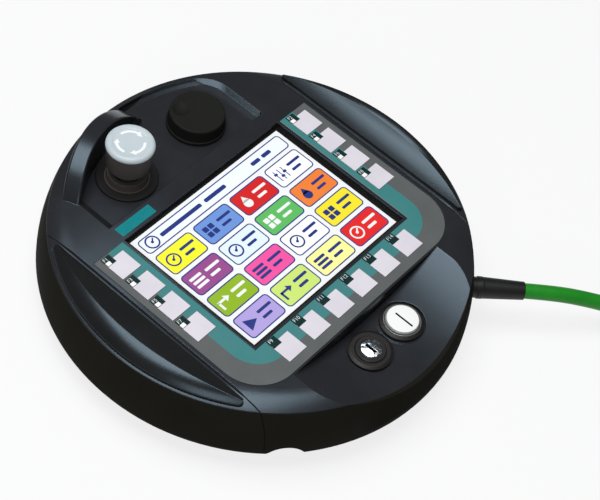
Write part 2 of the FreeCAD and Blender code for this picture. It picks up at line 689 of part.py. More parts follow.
# Screws that hold the two halves, the terminal cover and the boards
housing_screws = []
for number, (x, y, top) in enumerate(SCREW_POINTS, 1):
    housing_screws.append(rod(f"screw_head_{number}", size.screw_head_dia,
                              screw_shoulder - size.screw_head_thick, screw_shoulder, x, y))
    housing_screws.append(rod(f"screw_shank_{number}", size.screw_dia, screw_shoulder,
                              belly + size.screw_reach, x, y))
node(fuse("housing_screws", housing_screws))

cover_blank = box("cover_blank", (-cover_x, -cover_y, 0), (cover_x, cover_y, size.cover_thick))
cover_holes = []
cover_screws = []
cover_shoulder = size.cover_screw_sink
for number, (x, y) in enumerate(COVER_POINTS, 1):
    cover_holes.append(rod(f"cover_sink_{number}", size.cover_screw_head + size.fit_gap * 2, -over,
                           cover_shoulder, x, y))
    cover_holes.append(rod(f"cover_hole_{number}", size.cover_screw_dia + size.fit_gap * 2, 0,
                           size.cover_thick + over, x, y))
    cover_screws.append(rod(f"cover_head_{number}", size.cover_screw_head, size.fit_gap, cover_shoulder,
                            x, y))
    cover_screws.append(rod(f"cover_shank_{number}", size.cover_screw_dia, cover_shoulder,
                            size.cover_screw_length, x, y))
node(cut("terminal_cover", cover_blank, cover_holes))
node(fuse("cover_screws", cover_screws))

# Display stack: seal frame, touch glass and the display module behind it
glass_x = window_x + size.glass_margin
glass_low = window_low - size.glass_margin
glass_high = window_high + size.glass_margin
glass_top = ceiling - size.gasket_thick
glass_bottom = glass_top - size.glass_thick
gasket_blank = box("gasket_blank", (-glass_x, glass_low, glass_top), (glass_x, glass_high, ceiling))
gasket_hole = box("gasket_hole", (-window_x, window_low, glass_top - over),
                  (window_x, window_high, ceiling + over))
node(cut("display_gasket", gasket_blank, [gasket_hole]))
node(box("touch_glass", (-glass_x, glass_low, glass_bottom), (glass_x, glass_high, glass_top)))
lcd_x = glass_x - size.lcd_inset
node(box("lcd_module", (-lcd_x, glass_low + size.lcd_inset, glass_bottom - size.lcd_thick),
         (lcd_x, glass_high - size.lcd_inset, glass_bottom)))

# Membrane keypad: a U of printed film, its board, and the keys that travel in it
film_holes = [key_box(f"film_hole_{number}", point, size.key_gap, film_level - over, face + over)
              for number, point in enumerate(KEY_POINTS, 1)]
node(cut("membrane_keypad", plate("film_sheet", film_outline(size.fit_gap), film_level, size.film_thick),
         film_holes))
board_half = cavity_half - size.keyboard_gap
board_inner = glass_x + size.keyboard_inset
board_shelf = glass_low - size.keyboard_gap
board_front = cavity_front + size.keyboard_gap
node(plate("keypad_board", [
    (-board_half, film_top), (-board_half, board_front), (board_half, board_front), (board_half, film_top),
    (board_inner, film_top), (board_inner, board_shelf), (-board_inner, board_shelf),
    (-board_inner, film_top)], ceiling - size.keyboard_thick, size.keyboard_thick))
key_bottom = key_floor + size.key_travel + size.fit_gap
key_top = face + size.key_proud
stem_bottom = ceiling + size.key_travel + size.fit_gap
for number, point in enumerate(KEY_POINTS, 1):
    cap = key_box(f"key_cap_{number}", point, 0, key_bottom, key_top)
    stem = rod(f"key_stem_{number}", size.key_stem_dia, stem_bottom, key_bottom + size.fit_gap, *point)
    node(fuse(f"fn_key_{number:02d}", [cap, stem]))

# Stop button: collar, nut and contact block stay, the stem is pressed, the head also twists
stop = (size.stop_x, size.stop_y)
neck_bottom = upper_ceiling - size.stop_nut_thick - size.wall / 2
collar_top = upper_floor + size.stop_collar_thick
ring_top = upper_floor + size.stop_ring_height
stem_bore = size.stop_stem_dia / 2 + size.run_gap
ring_radius = size.stop_ring_dia / 2
collar_radius = size.stop_collar_dia / 2
neck_radius = size.stop_neck_dia / 2
node(turned("stop_collar", [
    (stem_bore, neck_bottom), (neck_radius, neck_bottom), (neck_radius, upper_floor),
    (collar_radius, upper_floor), (collar_radius, collar_top - size.edge_break),
    (collar_radius - size.edge_break, collar_top), (ring_radius, collar_top),
    (ring_radius - size.stop_ring_taper, ring_top), (stem_bore, ring_top)], *stop))
stop_nut = ring("stop_nut", neck_radius + size.fit_gap, size.stop_nut_dia / 2,
                upper_ceiling - size.stop_nut_thick, upper_ceiling, *stop)
block_half = size.stop_block_width / 2
stem_low = neck_bottom - size.stop_stem_depth + size.stop_travel + size.run_gap
stop_block = box("stop_block_blank",
                 (size.stop_x - block_half, size.stop_y - block_half, neck_bottom - size.stop_block_height),
                 (size.stop_x + block_half, size.stop_y + block_half, neck_bottom))
node(cut("stop_block", stop_block, [
    rod("stop_block_bore", stem_bore * 2, neck_bottom - size.stop_stem_depth, neck_bottom + over, *stop)]))
skirt_bottom = ring_top + size.stop_travel + size.run_gap
stem_top = skirt_bottom - size.run_gap
skirt_top = skirt_bottom + size.stop_skirt_height
cap_top = skirt_top + size.stop_cap_height
pin_top = skirt_top + size.stop_pin_reach
pin_radius = size.stop_pin_dia / 2
pin_bore = pin_radius + size.slip_gap
stem_radius = size.stop_stem_dia / 2
node(turned("stop_stem", [
    (0, stem_low), (stem_radius, stem_low), (stem_radius, stem_top), (pin_radius, stem_top),
    (pin_radius, pin_top), (0, pin_top)], *stop))
skirt_radius = size.stop_skirt_dia / 2
skirt_rim = size.stop_skirt_top_dia / 2
cap_radius = size.stop_cap_dia / 2
cap_shoulder = cap_radius - size.stop_cap_round
dish_floor = cap_top - size.stop_dish_depth
dish_radius = size.stop_dish_dia / 2
node(turned("stop_skirt", [
    (pin_bore, skirt_bottom), (skirt_radius - size.edge_break, skirt_bottom),
    (skirt_radius, skirt_bottom + size.stop_skirt_foot), (skirt_rim, skirt_top - size.edge_break),
    (skirt_rim - size.edge_break, skirt_top), (pin_bore, skirt_top)], *stop))
node(turned("stop_cap", [
    (pin_bore, skirt_top), (cap_radius - size.stop_cap_inset, skirt_top),
    (cap_radius, skirt_top + size.stop_cap_inset),
    (cap_radius, cap_top - size.stop_cap_round, size.stop_cap_round, 1), (cap_shoulder, cap_top),
    (dish_radius, cap_top), (dish_radius - size.stop_dish_depth, dish_floor), (0, dish_floor),
    (0, pin_top + size.fit_gap), (pin_bore, pin_top + size.fit_gap)], *stop))

# Handwheel on its shaft, bush and encoder
wheel = (size.wheel_x, size.wheel_y)
wheel_bottom = upper_floor + size.run_gap + size.fit_gap
wheel_top = wheel_bottom + size.wheel_height
shaft = size.wheel_shaft_dia / 2
shaft_bore = shaft + size.slip_gap
shaft_top = wheel_top - size.shaft_cover
wheel_radius = size.wheel_dia / 2
base_radius = size.wheel_base_dia / 2
flange_top = wheel_bottom + size.wheel_flange
wheel_blank = turned("wheel_blank", [
    (shaft_bore, wheel_bottom), (base_radius, wheel_bottom), (base_radius, flange_top),
    (wheel_radius + size.wheel_step, flange_top + size.wheel_step),
    (wheel_radius, wheel_top - size.wheel_round, size.wheel_round, 1),
    (wheel_radius - size.wheel_round, wheel_top), (0, wheel_top), (0, shaft_top + size.fit_gap),
    (shaft_bore, shaft_top + size.fit_gap)], *wheel)
dimple_half = size.dimple_dia / 2
dimple_radius = dimple_half * dimple_half + size.dimple_depth * size.dimple_depth
dimple_radius = dimple_radius / (size.dimple_depth * 2)
dimple = doc.addObject("Part::Sphere", "wheel_dimple")
bind(dimple, "Radius", dimple_radius)
place(dimple, size.wheel_x + size.dimple_x, size.wheel_y + size.dimple_y,
      wheel_top - size.dimple_depth + dimple_radius)
node(cut("handwheel", wheel_blank, [dimple]))
bush_bottom = upper_ceiling - size.wheel_bush_depth
encoder_bottom = upper_ceiling - size.encoder_height
shaft_bottom = bush_bottom - size.shaft_reach
node(rod("handwheel_shaft", size.wheel_shaft_dia, shaft_bottom, shaft_top, *wheel))
node(ring("handwheel_bush", shaft_bore, size.wheel_bush_dia / 2, bush_bottom, upper_floor, *wheel))
encoder_half = size.encoder_width / 2
encoder_blank = box("encoder_blank",
                    (size.wheel_x - encoder_half, size.wheel_y - encoder_half, encoder_bottom),
                    (size.wheel_x + encoder_half, size.wheel_y + encoder_half, upper_ceiling))
node(cut("handwheel_encoder", encoder_blank, [
    rod("encoder_bush_bore", size.wheel_bush_dia + size.fit_gap * 2, bush_bottom, upper_ceiling + over,
        *wheel),
    rod("encoder_shaft_bore", shaft_bore * 2, shaft_bottom - size.run_gap, upper_ceiling, *wheel)]))

# Key switch: bezel, lock barrel with its nut, and the plug that the key turns
lock = (-size.switch_x, -size.switch_y)
bezel_top = seat_level + size.bezel_height
bezel_radius = size.bezel_dia / 2


def bezel(name, inner, x, y):
    return turned(name, [
        (inner, seat_level), (bezel_radius, seat_level), (bezel_radius, bezel_top - size.bezel_slope),
        (bezel_radius - size.bezel_slope * 2, bezel_top), (inner, bezel_top)], x, y)


lock_radius = size.lock_dia / 2
plug_radius = size.plug_dia / 2
lock_top = bezel_top + size.lock_proud
lock_bottom = lower_ceiling - size.lock_depth
plug_bore = plug_radius + size.slip_gap
node(bezel("lock_bezel", lock_radius + size.fit_gap, *lock))
node(turned("lock_barrel", [
    (0, lock_bottom), (lock_radius, lock_bottom), (lock_radius, lock_top - size.edge_break),
    (lock_radius - size.edge_break, lock_top), (plug_bore, lock_top), (plug_bore, lock_bottom + size.wall),
    (0, lock_bottom + size.wall)], *lock))
lock_nut = ring("lock_nut", lock_radius + size.fit_gap, size.lock_nut_dia / 2,
                lower_ceiling - size.lock_nut_thick, lower_ceiling, *lock)
plug_top = lock_top + size.plug_proud
plug_bottom = lock_bottom + size.wall + size.run_gap
plug_blank = turned("plug_blank", [
    (0, plug_bottom), (plug_radius, plug_bottom), (plug_radius, plug_top - size.edge_break),
    (plug_radius - size.edge_break, plug_top), (0, plug_top)], *lock)
keyway_x = size.keyway_width / 2
keyway_y = size.keyway_length / 2
node(cut("lock_plug", plug_blank, [box(
    "keyway", (lock[0] - keyway_x, lock[1] - keyway_y, plug_top - size.keyway_depth),
    (lock[0] + keyway_x, lock[1] + keyway_y, plug_top + over))]))

# Lit pushbutton: bezel, bright ring, lens on a sprung stem, and the lamp block under the floor
lit = (size.switch_x, -size.switch_y)
lens_radius = size.lens_dia / 2
ring_outer = lens_radius + size.run_gap + size.ring_width
ring_level = seat_level + size.ring_sink
lens_top = bezel_top + size.lens_proud
lens_bottom = lower_ceiling - size.lens_depth + size.lens_travel + size.run_gap
stem_end = lens_bottom - size.lens_stem_length
ring_inner = lens_radius + size.run_gap
ring_seat = ring_outer + size.slip_gap
node(turned("button_bezel", [
    (ring_inner, seat_level), (bezel_radius, seat_level), (bezel_radius, bezel_top - size.bezel_slope),
    (bezel_radius - size.bezel_slope * 2, bezel_top), (ring_seat, bezel_top), (ring_seat, ring_level),
    (ring_inner, ring_level)], *lit))
node(ring("button_ring", ring_inner, ring_outer, ring_level, bezel_top + size.ring_proud, *lit))
node(turned("button_lens", [
    (0, stem_end), (size.lens_stem_dia / 2, stem_end), (size.lens_stem_dia / 2, lens_bottom),
    (lens_radius, lens_bottom), (lens_radius, lens_top - size.lens_edge),
    (lens_radius - size.lens_edge, lens_top), (0, lens_top)], *lit))
lamp_half = size.lamp_block_width / 2
lamp_blank = box("lamp_block_blank",
                 (lit[0] - lamp_half, lit[1] - lamp_half, lower_ceiling - size.lamp_block_height),
                 (lit[0] + lamp_half, lit[1] + lamp_half, lower_ceiling))
lamp_stem_floor = stem_end - size.lens_travel - size.run_gap
node(cut("lamp_block", lamp_blank, [
    rod("lamp_bore", lens_hole, lower_ceiling - size.lens_depth, lower_ceiling + over, *lit),
    rod("lamp_stem_bore", size.lens_stem_dia + size.run_gap * 2, lamp_stem_floor, lower_ceiling, *lit)]))

# Circuit boards on their posts
board_top = size.board_level + size.board_thick
terminal_top = size.terminal_level + size.board_thick
board_screws = []
for label, points, width, height, low, top in (
        ("main_board", BOARD_POINTS, size.board_width, size.board_height, size.board_level, board_top),
        ("terminal_board", TERMINAL_POINTS, size.terminal_width, size.terminal_height, size.terminal_level,
         terminal_top)):
    blank = box(label + "_blank", (-width / 2, -height / 2, low), (width / 2, height / 2, top))
    holes = [rod(f"{label}_hole_{number}", size.board_screw_dia + size.fit_gap * 2, low - over, top + over,
                 x, y) for number, (x, y) in enumerate(points, 1)]
    node(cut(label, blank, holes))
    for number, (x, y) in enumerate(points, 1):
        board_screws.append(rod(f"{label}_head_{number}", size.board_screw_head, top,
                                top + size.board_head_thick, x, y))
        board_screws.append(rod(f"{label}_shank_{number}", size.board_screw_dia,
                                top - size.board_screw_length + size.fit_gap, top, x, y))
node(fuse("board_screws", board_screws))

# Enabling bars under the side grips, each pressed towards the front onto a switch block
bar_low = underside - size.bar_drop
flange_low = inside + size.run_gap
flange_high = flange_low + size.bar_lip_thick
flange_half = size.bar_half_angle + size.bar_lip_angle
switch_low = flange_high + size.bar_travel + size.run_gap
for label, side in SIDES:
    middle_angle = BAR_ANGLES[label]
    bar = sector(f"{label}_bar_body", bar_inner, bar_outer, bar_low, flange_high,
                 middle_angle - size.bar_half_angle, size.bar_half_angle * 2)
    flange = sector(f"{label}_bar_flange", bar_inner - size.bar_lip, bar_outer + size.bar_lip, flange_low,
                    flange_high, middle_angle - flange_half, flange_half * 2)
    node(fuse(f"{label}_enabling_bar", [bar, flange]))
    node(both_ways(f"{label}_enabling_switch", side, grip_seam + size.wall, disc - size.switch_block_inset,
                   -size.switch_block_length / 2, size.switch_block_length / 2, switch_low,
                   switch_low + size.switch_block_height))

# Strain relief boot with its gland nut
boot_root = size.boot_root_dia / 2
node(turned("strain_relief", [
    (0, -size.gland_length), (size.gland_dia / 2, -size.gland_length), (size.gland_dia / 2, as_size(0)),
    (size.boot_collar_dia / 2, as_size(0)), (size.boot_collar_dia / 2, size.boot_collar),
    (boot_root, size.boot_collar + size.boot_shoulder), (size.boot_end_dia / 2, size.boot_length),
    (0, size.boot_length)], *outlet, outlet_turn))
nut_start = size.gland_nut_inset - size.gland_length
gland_nut = turned("gland_nut", [
    (size.gland_dia / 2 + size.fit_gap, nut_start), (size.gland_nut_dia / 2, nut_start),
    (size.gland_nut_dia / 2, nut_start + size.gland_nut_thick),
    (size.gland_dia / 2 + size.fit_gap, nut_start + size.gland_nut_thick)], *outlet, outlet_turn)
node(fuse("panel_nuts", [stop_nut, lock_nut, gland_nut]))


ARC_SHARE = 0.45


def round_path(points):
    """Straight runs joined by arcs, each as large as its two runs allow."""
    corners = [FreeCAD.Vector(*point) for point in points]
    edges = []
    radii = []
    start = corners[0]
    for before, corner, after in zip(corners, corners[1:], corners[2:]):
        back = (before - corner).normalize()
        ahead = (after - corner).normalize()
        half_turn = (math.pi - back.getAngle(ahead)) / 2
        reach = ARC_SHARE * min((before - corner).Length, (after - corner).Length)
        radius = reach / math.tan(half_turn)
        first = corner + back * reach
        last = corner + ahead * reach
        inward = (back + ahead).normalize()
        middle = corner + inward * (radius / math.cos(half_turn) - radius)
        edges.append(Part.LineSegment(start, first).toShape())
        edges.append(Part.Arc(first, middle, last).toShape())
        radii.append(radius)
        start = last
    edges.append(Part.LineSegment(start, corners[-1]).toShape())
    return Part.Wire(edges), radii


def tube(name, points, dia):
    """A cable along its route, compared with its section times its length."""
    path, radii = round_path(points)
    start = FreeCAD.Vector(*points[0])
    heading = FreeCAD.Vector(*points[1]) - start
    ring_edge = Part.Edge(Part.Circle(start, heading, dia.value / 2))
    solid = path.makePipeShell([Part.Wire([ring_edge])], True, True)
    expected = math.pi * dia.value ** 2 / 4 * path.Length
    print(f"{name}: {path.Length:.1f} mm, radii", [round(radius, 1) for radius in radii],
          f"volume ratio {solid.Volume / expected:.4f}")
    item = doc.addObject("Part::Feature", name)
    item.Shape = solid
    return item


cable_points = [along_outlet(size.boot_length), along_outlet(size.boot_length + size.cable_start)]
for right, down, height in CABLE_ROUTE:
    cable_points.append((outlet[0] + right, outlet[1] - down, as_size(height)))
node(tube("cable", [tuple(part.value for part in point) for point in cable_points], size.cable_dia))

# Put-away length of cable: a ring of turns with its tie, and the connector beside it
coil_x = outlet[0] + size.coil_right
coil_y = outlet[1] - size.coil_down
coil_mean = size.coil_mean_dia / 2
coil_half = size.cable_dia * size.coil_rows / 2
coil_inner = coil_mean - coil_half
coil_outer = coil_mean + coil_half
coil_top = size.coil_floor + size.cable_dia * size.coil_layers
edge_round = size.cable_dia / 2
node(turned("cable_coil", [
    (coil_inner + edge_round, size.coil_floor), (coil_outer - edge_round, size.coil_floor, edge_round, 1),
    (coil_outer, size.coil_floor + edge_round), (coil_outer, coil_top - edge_round, edge_round, 1),
    (coil_outer - edge_round, coil_top), (coil_inner + edge_round, coil_top, edge_round, 1),
    (coil_inner, coil_top - edge_round), (coil_inner, size.coil_floor + edge_round, edge_round, 1)],
    coil_x, coil_y))
tie_half = size.tie_width / 2
tie_low = size.coil_floor - size.fit_gap
tie_high = coil_top + size.fit_gap
tie_near = coil_y + coil_inner - size.fit_gap * 2
tie_far = coil_y + coil_outer + size.fit_gap
node(cut("cable_tie", box(
    "tie_outside", (coil_x - tie_half, tie_near - size.tie_thick, tie_low - size.tie_thick),
    (coil_x + tie_half, tie_far + size.tie_thick, tie_high + size.tie_thick)),
    [box("tie_inside", (coil_x - tie_half - over, tie_near, tie_low),
         (coil_x + tie_half + over, tie_far, tie_high))]))

tail_radius = coil_mean + size.cable_dia / 2
tail_start = (coil_x + tail_radius * cosine(size.tail_angle),
              coil_y + tail_radius * sine(size.tail_angle), size.coupling_dia / 2)
tail_heading = size.tail_angle + 90
tail_turn = level(tail_heading)
node(lying_rod("cable_tail", size.cable_dia, size.tail_length, tail_start, tail_heading))
connector_start = (tail_start[0] + cosine(tail_heading) * size.tail_length,
                   tail_start[1] + sine(tail_heading) * size.tail_length, tail_start[2])
connector_radius = size.connector_dia / 2
socket_floor = size.connector_length - size.socket_depth
node(turned("connector_shell", [
    (0, 0), (size.connector_tail_dia / 2, 0),
    (size.connector_tail_dia / 2 + size.connector_flare, size.connector_cone),
    (connector_radius, size.connector_tail), (connector_radius, size.connector_length),
    (size.socket_dia / 2, size.connector_length), (size.socket_dia / 2, socket_floor), (0, socket_floor)],
    *connector_start, tail_turn))
node(turned("coupling_ring", [
    (connector_radius + size.slip_gap, size.coupling_place), (size.coupling_dia / 2, size.coupling_place),
    (size.coupling_dia / 2, size.coupling_place + size.coupling_length),
    (connector_radius + size.slip_gap, size.coupling_place + size.coupling_length)],
    *connector_start, tail_turn))

doc.recompute()
faults = [item.Name for item in doc.Objects if {"Invalid", "Error"} & set(item.State)]
faults += [item.Name for item in pieces if item.Shape.isNull() or not item.Shape.isValid()]
faults += [item.Name for item in pieces if item.Shape.Volume <= 0]
if faults:
    raise RuntimeError("failed: " + ", ".join(faults))
os.makedirs("parts", exist_ok=True)
for item in pieces:
    item.Shape.exportStep(f"parts/{item.Label}.step")
print(len(pieces), "pieces written")
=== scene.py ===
import bpy
import bmesh
import json
import math
from mathutils import Matrix, Vector


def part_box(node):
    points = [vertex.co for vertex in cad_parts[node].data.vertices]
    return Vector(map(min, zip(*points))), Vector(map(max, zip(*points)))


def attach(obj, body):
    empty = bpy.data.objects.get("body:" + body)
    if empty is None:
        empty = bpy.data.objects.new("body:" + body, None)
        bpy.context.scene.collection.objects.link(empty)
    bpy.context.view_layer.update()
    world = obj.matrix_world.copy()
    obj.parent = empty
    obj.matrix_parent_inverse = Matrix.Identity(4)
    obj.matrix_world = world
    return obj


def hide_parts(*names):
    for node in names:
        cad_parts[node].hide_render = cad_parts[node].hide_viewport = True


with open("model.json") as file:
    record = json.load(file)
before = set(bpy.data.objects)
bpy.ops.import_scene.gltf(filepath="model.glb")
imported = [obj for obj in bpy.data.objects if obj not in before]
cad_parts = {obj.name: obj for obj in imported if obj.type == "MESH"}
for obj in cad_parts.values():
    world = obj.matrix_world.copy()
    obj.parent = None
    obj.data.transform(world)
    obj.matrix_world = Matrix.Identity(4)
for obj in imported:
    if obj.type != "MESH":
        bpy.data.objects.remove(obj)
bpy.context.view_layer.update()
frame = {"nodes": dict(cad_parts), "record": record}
nodes = frame["nodes"]
scene = bpy.context.scene
scene.view_settings.view_transform = "Standard"
print("panel loaded:", len(nodes), "nodes")

# Camera, from the fit of the round housing and the display to the photograph
photoView = {
    "place": (-0.489811, -0.304710, 0.768368),
    "turn": (37.4303, -8.6224, -49.2263),  # degrees, XYZ
    "lens": 101.155,
    "sensor": 36.0,
}


def addCamera(view):
    camera = bpy.data.objects.new("photoCamera", bpy.data.cameras.new("photoCamera"))
    camera.data.lens = view["lens"]
    camera.data.sensor_width = view["sensor"]
    camera.data.sensor_fit = "HORIZONTAL"
    camera.location = view["place"]
    camera.rotation_euler = [math.radians(angle) for angle in view["turn"]]
    scene.collection.objects.link(camera)
    scene.camera = camera


addCamera(photoView)
print("camera set")


class Wire:  # a socket that can stand in sums
    def __init__(self, tree, socket=None):
        self.tree = tree
        self.socket = socket

    def node(self, kind, settings=None, links=None, out=0):
        made = self.tree.nodes.new(kind)
        for name, value in (settings or {}).items():
            setattr(made, name, value)
        for name, value in (links or {}).items():
            if isinstance(value, Wire):
                self.tree.links.new(value.socket, made.inputs[name])
            else:
                made.inputs[name].default_value = value
        return Wire(self.tree, made.outputs[out])

    def sum(self, operation, first, second=0.0):
        return self.node("ShaderNodeMath", {"operation": operation}, {0: first, 1: second})

    def __add__(self, other):
        return self.sum("ADD", self, other)

    __radd__ = __add__

    def __sub__(self, other):
        return self.sum("SUBTRACT", self, other)

    def __rsub__(self, other):
        return self.sum("SUBTRACT", other, self)

    def __mul__(self, other):
        return self.sum("MULTIPLY", self, other)

    __rmul__ = __mul__


def startFinish(name, **sockets):
    material = bpy.data.materials.new(name)
    material.use_nodes = True
    shader = material.node_tree.nodes["Principled BSDF"]
    for socket, value in sockets.items():
        shader.inputs[socket].default_value = value
    return material, Wire(material.node_tree), shader


def feed(shader, socket, wire):
    wire.tree.links.new(wire.socket, shader.inputs[socket])


def coverWith(wire, shader, factor, cover):  # shows a second shader where the factor is 1
    under = Wire(wire.tree, shader.outputs["BSDF"])
    mixed = wire.node("ShaderNodeMixShader", None, {0: factor, 1: under, 2: cover})
    feed(wire.tree.nodes["Material Output"], "Surface", mixed)


def spot(wire):  # where a point lies on the panel, in metres
    return wire.node("ShaderNodeTexCoord", out="Object")


def axisOf(wire, vector, axis):
    return wire.node("ShaderNodeSeparateXYZ", None, {0: vector}, out=axis)


def vectorSum(wire, operation, first, second):
    return wire.node("ShaderNodeVectorMath", {"operation": operation}, {0: first, 1: second})


def scaled(wire, vector, factor):
    return wire.node("ShaderNodeVectorMath", {"operation": "SCALE"}, {0: vector, "Scale": factor})


def unit(wire, vector):
    return wire.node("ShaderNodeVectorMath", {"operation": "NORMALIZE"}, {0: vector})


def outward(wire, place, middle):  # level offset from an upright axis
    return vectorSum(wire, "MULTIPLY", vectorSum(wire, "SUBTRACT", place, middle), (1, 1, 0))


def awayFrom(wire, place, middle):
    return wire.node("ShaderNodeVectorMath", {"operation": "LENGTH"},
                     {0: outward(wire, place, middle)}, out="Value")


def speckle(wire, place, noise):  # noise: scale, detail, roughness
    scale, detail, rough = noise
    return wire.node("ShaderNodeTexNoise", None,
                     {"Vector": place, "Scale": scale, "Detail": detail, "Roughness": rough})


def spread(wire, value, low, high, start=0.0, end=1.0):
    return wire.node("ShaderNodeMapRange", None,
                     {"Value": value, "From Min": low, "From Max": high,
                      "To Min": start, "To Max": end})


noiseSpan = (0.3, 0.7)  # most of a noise lies between these


def vary(wire, noise, start=0.0, end=1.0):
    return spread(wire, noise, *noiseSpan, start, end)


def blendColours(wire, factor, first, second):
    return wire.node("ShaderNodeMix", {"data_type": "RGBA"},
                     {0: factor, 6: first, 7: second}, out=2)


def mottle(wire, noise, look):
    return blendColours(wire, vary(wire, noise), look["deep"], look["pale"])


def within(wire, value, low, high, soft):  # 1 between two bounds, 0 outside them
    return spread(wire, value, low - soft, low) * spread(wire, value, high + soft, high)


def inRegion(wire, place, bounds):  # low, high and soft width for each axis
    inside = 1.0
    for axis, (low, high, soft) in bounds.items():
        inside = within(wire, axisOf(wire, place, axis), low, high, soft) * inside
    return inside


edgeRounding = {"samples": 8, "flat": 0.995, "round": 0.8}


def softEdges(wire, radius):  # a normal that rounds the sharp edges off
    return wire.node("ShaderNodeBevel", {"samples": edgeRounding["samples"]}, {"Radius": radius})


def bareEdges(wire, rounded):  # 0 on flats, towards 1 where an edge is rounded off
    flatNormal = wire.node("ShaderNodeNewGeometry", out="Normal")
    same = wire.node("ShaderNodeVectorMath", {"operation": "DOT_PRODUCT"},
                     {0: rounded, 1: flatNormal}, out="Value")
    return spread(wire, same, edgeRounding["flat"], edgeRounding["round"])


def dent(wire, height, strength, depth, normal=None):
    links = {"Height": height, "Strength": strength, "Distance": depth}
    if normal:
        links["Normal"] = normal
    return wire.node("ShaderNodeBump", None, links)


def lean(wire, normal, region):  # tips the shading of the faces in one region
    sideways = scaled(wire, region["by"], inRegion(wire, spot(wire), region["bounds"]))
    return unit(wire, vectorSum(wire, "ADD", normal, sideways))
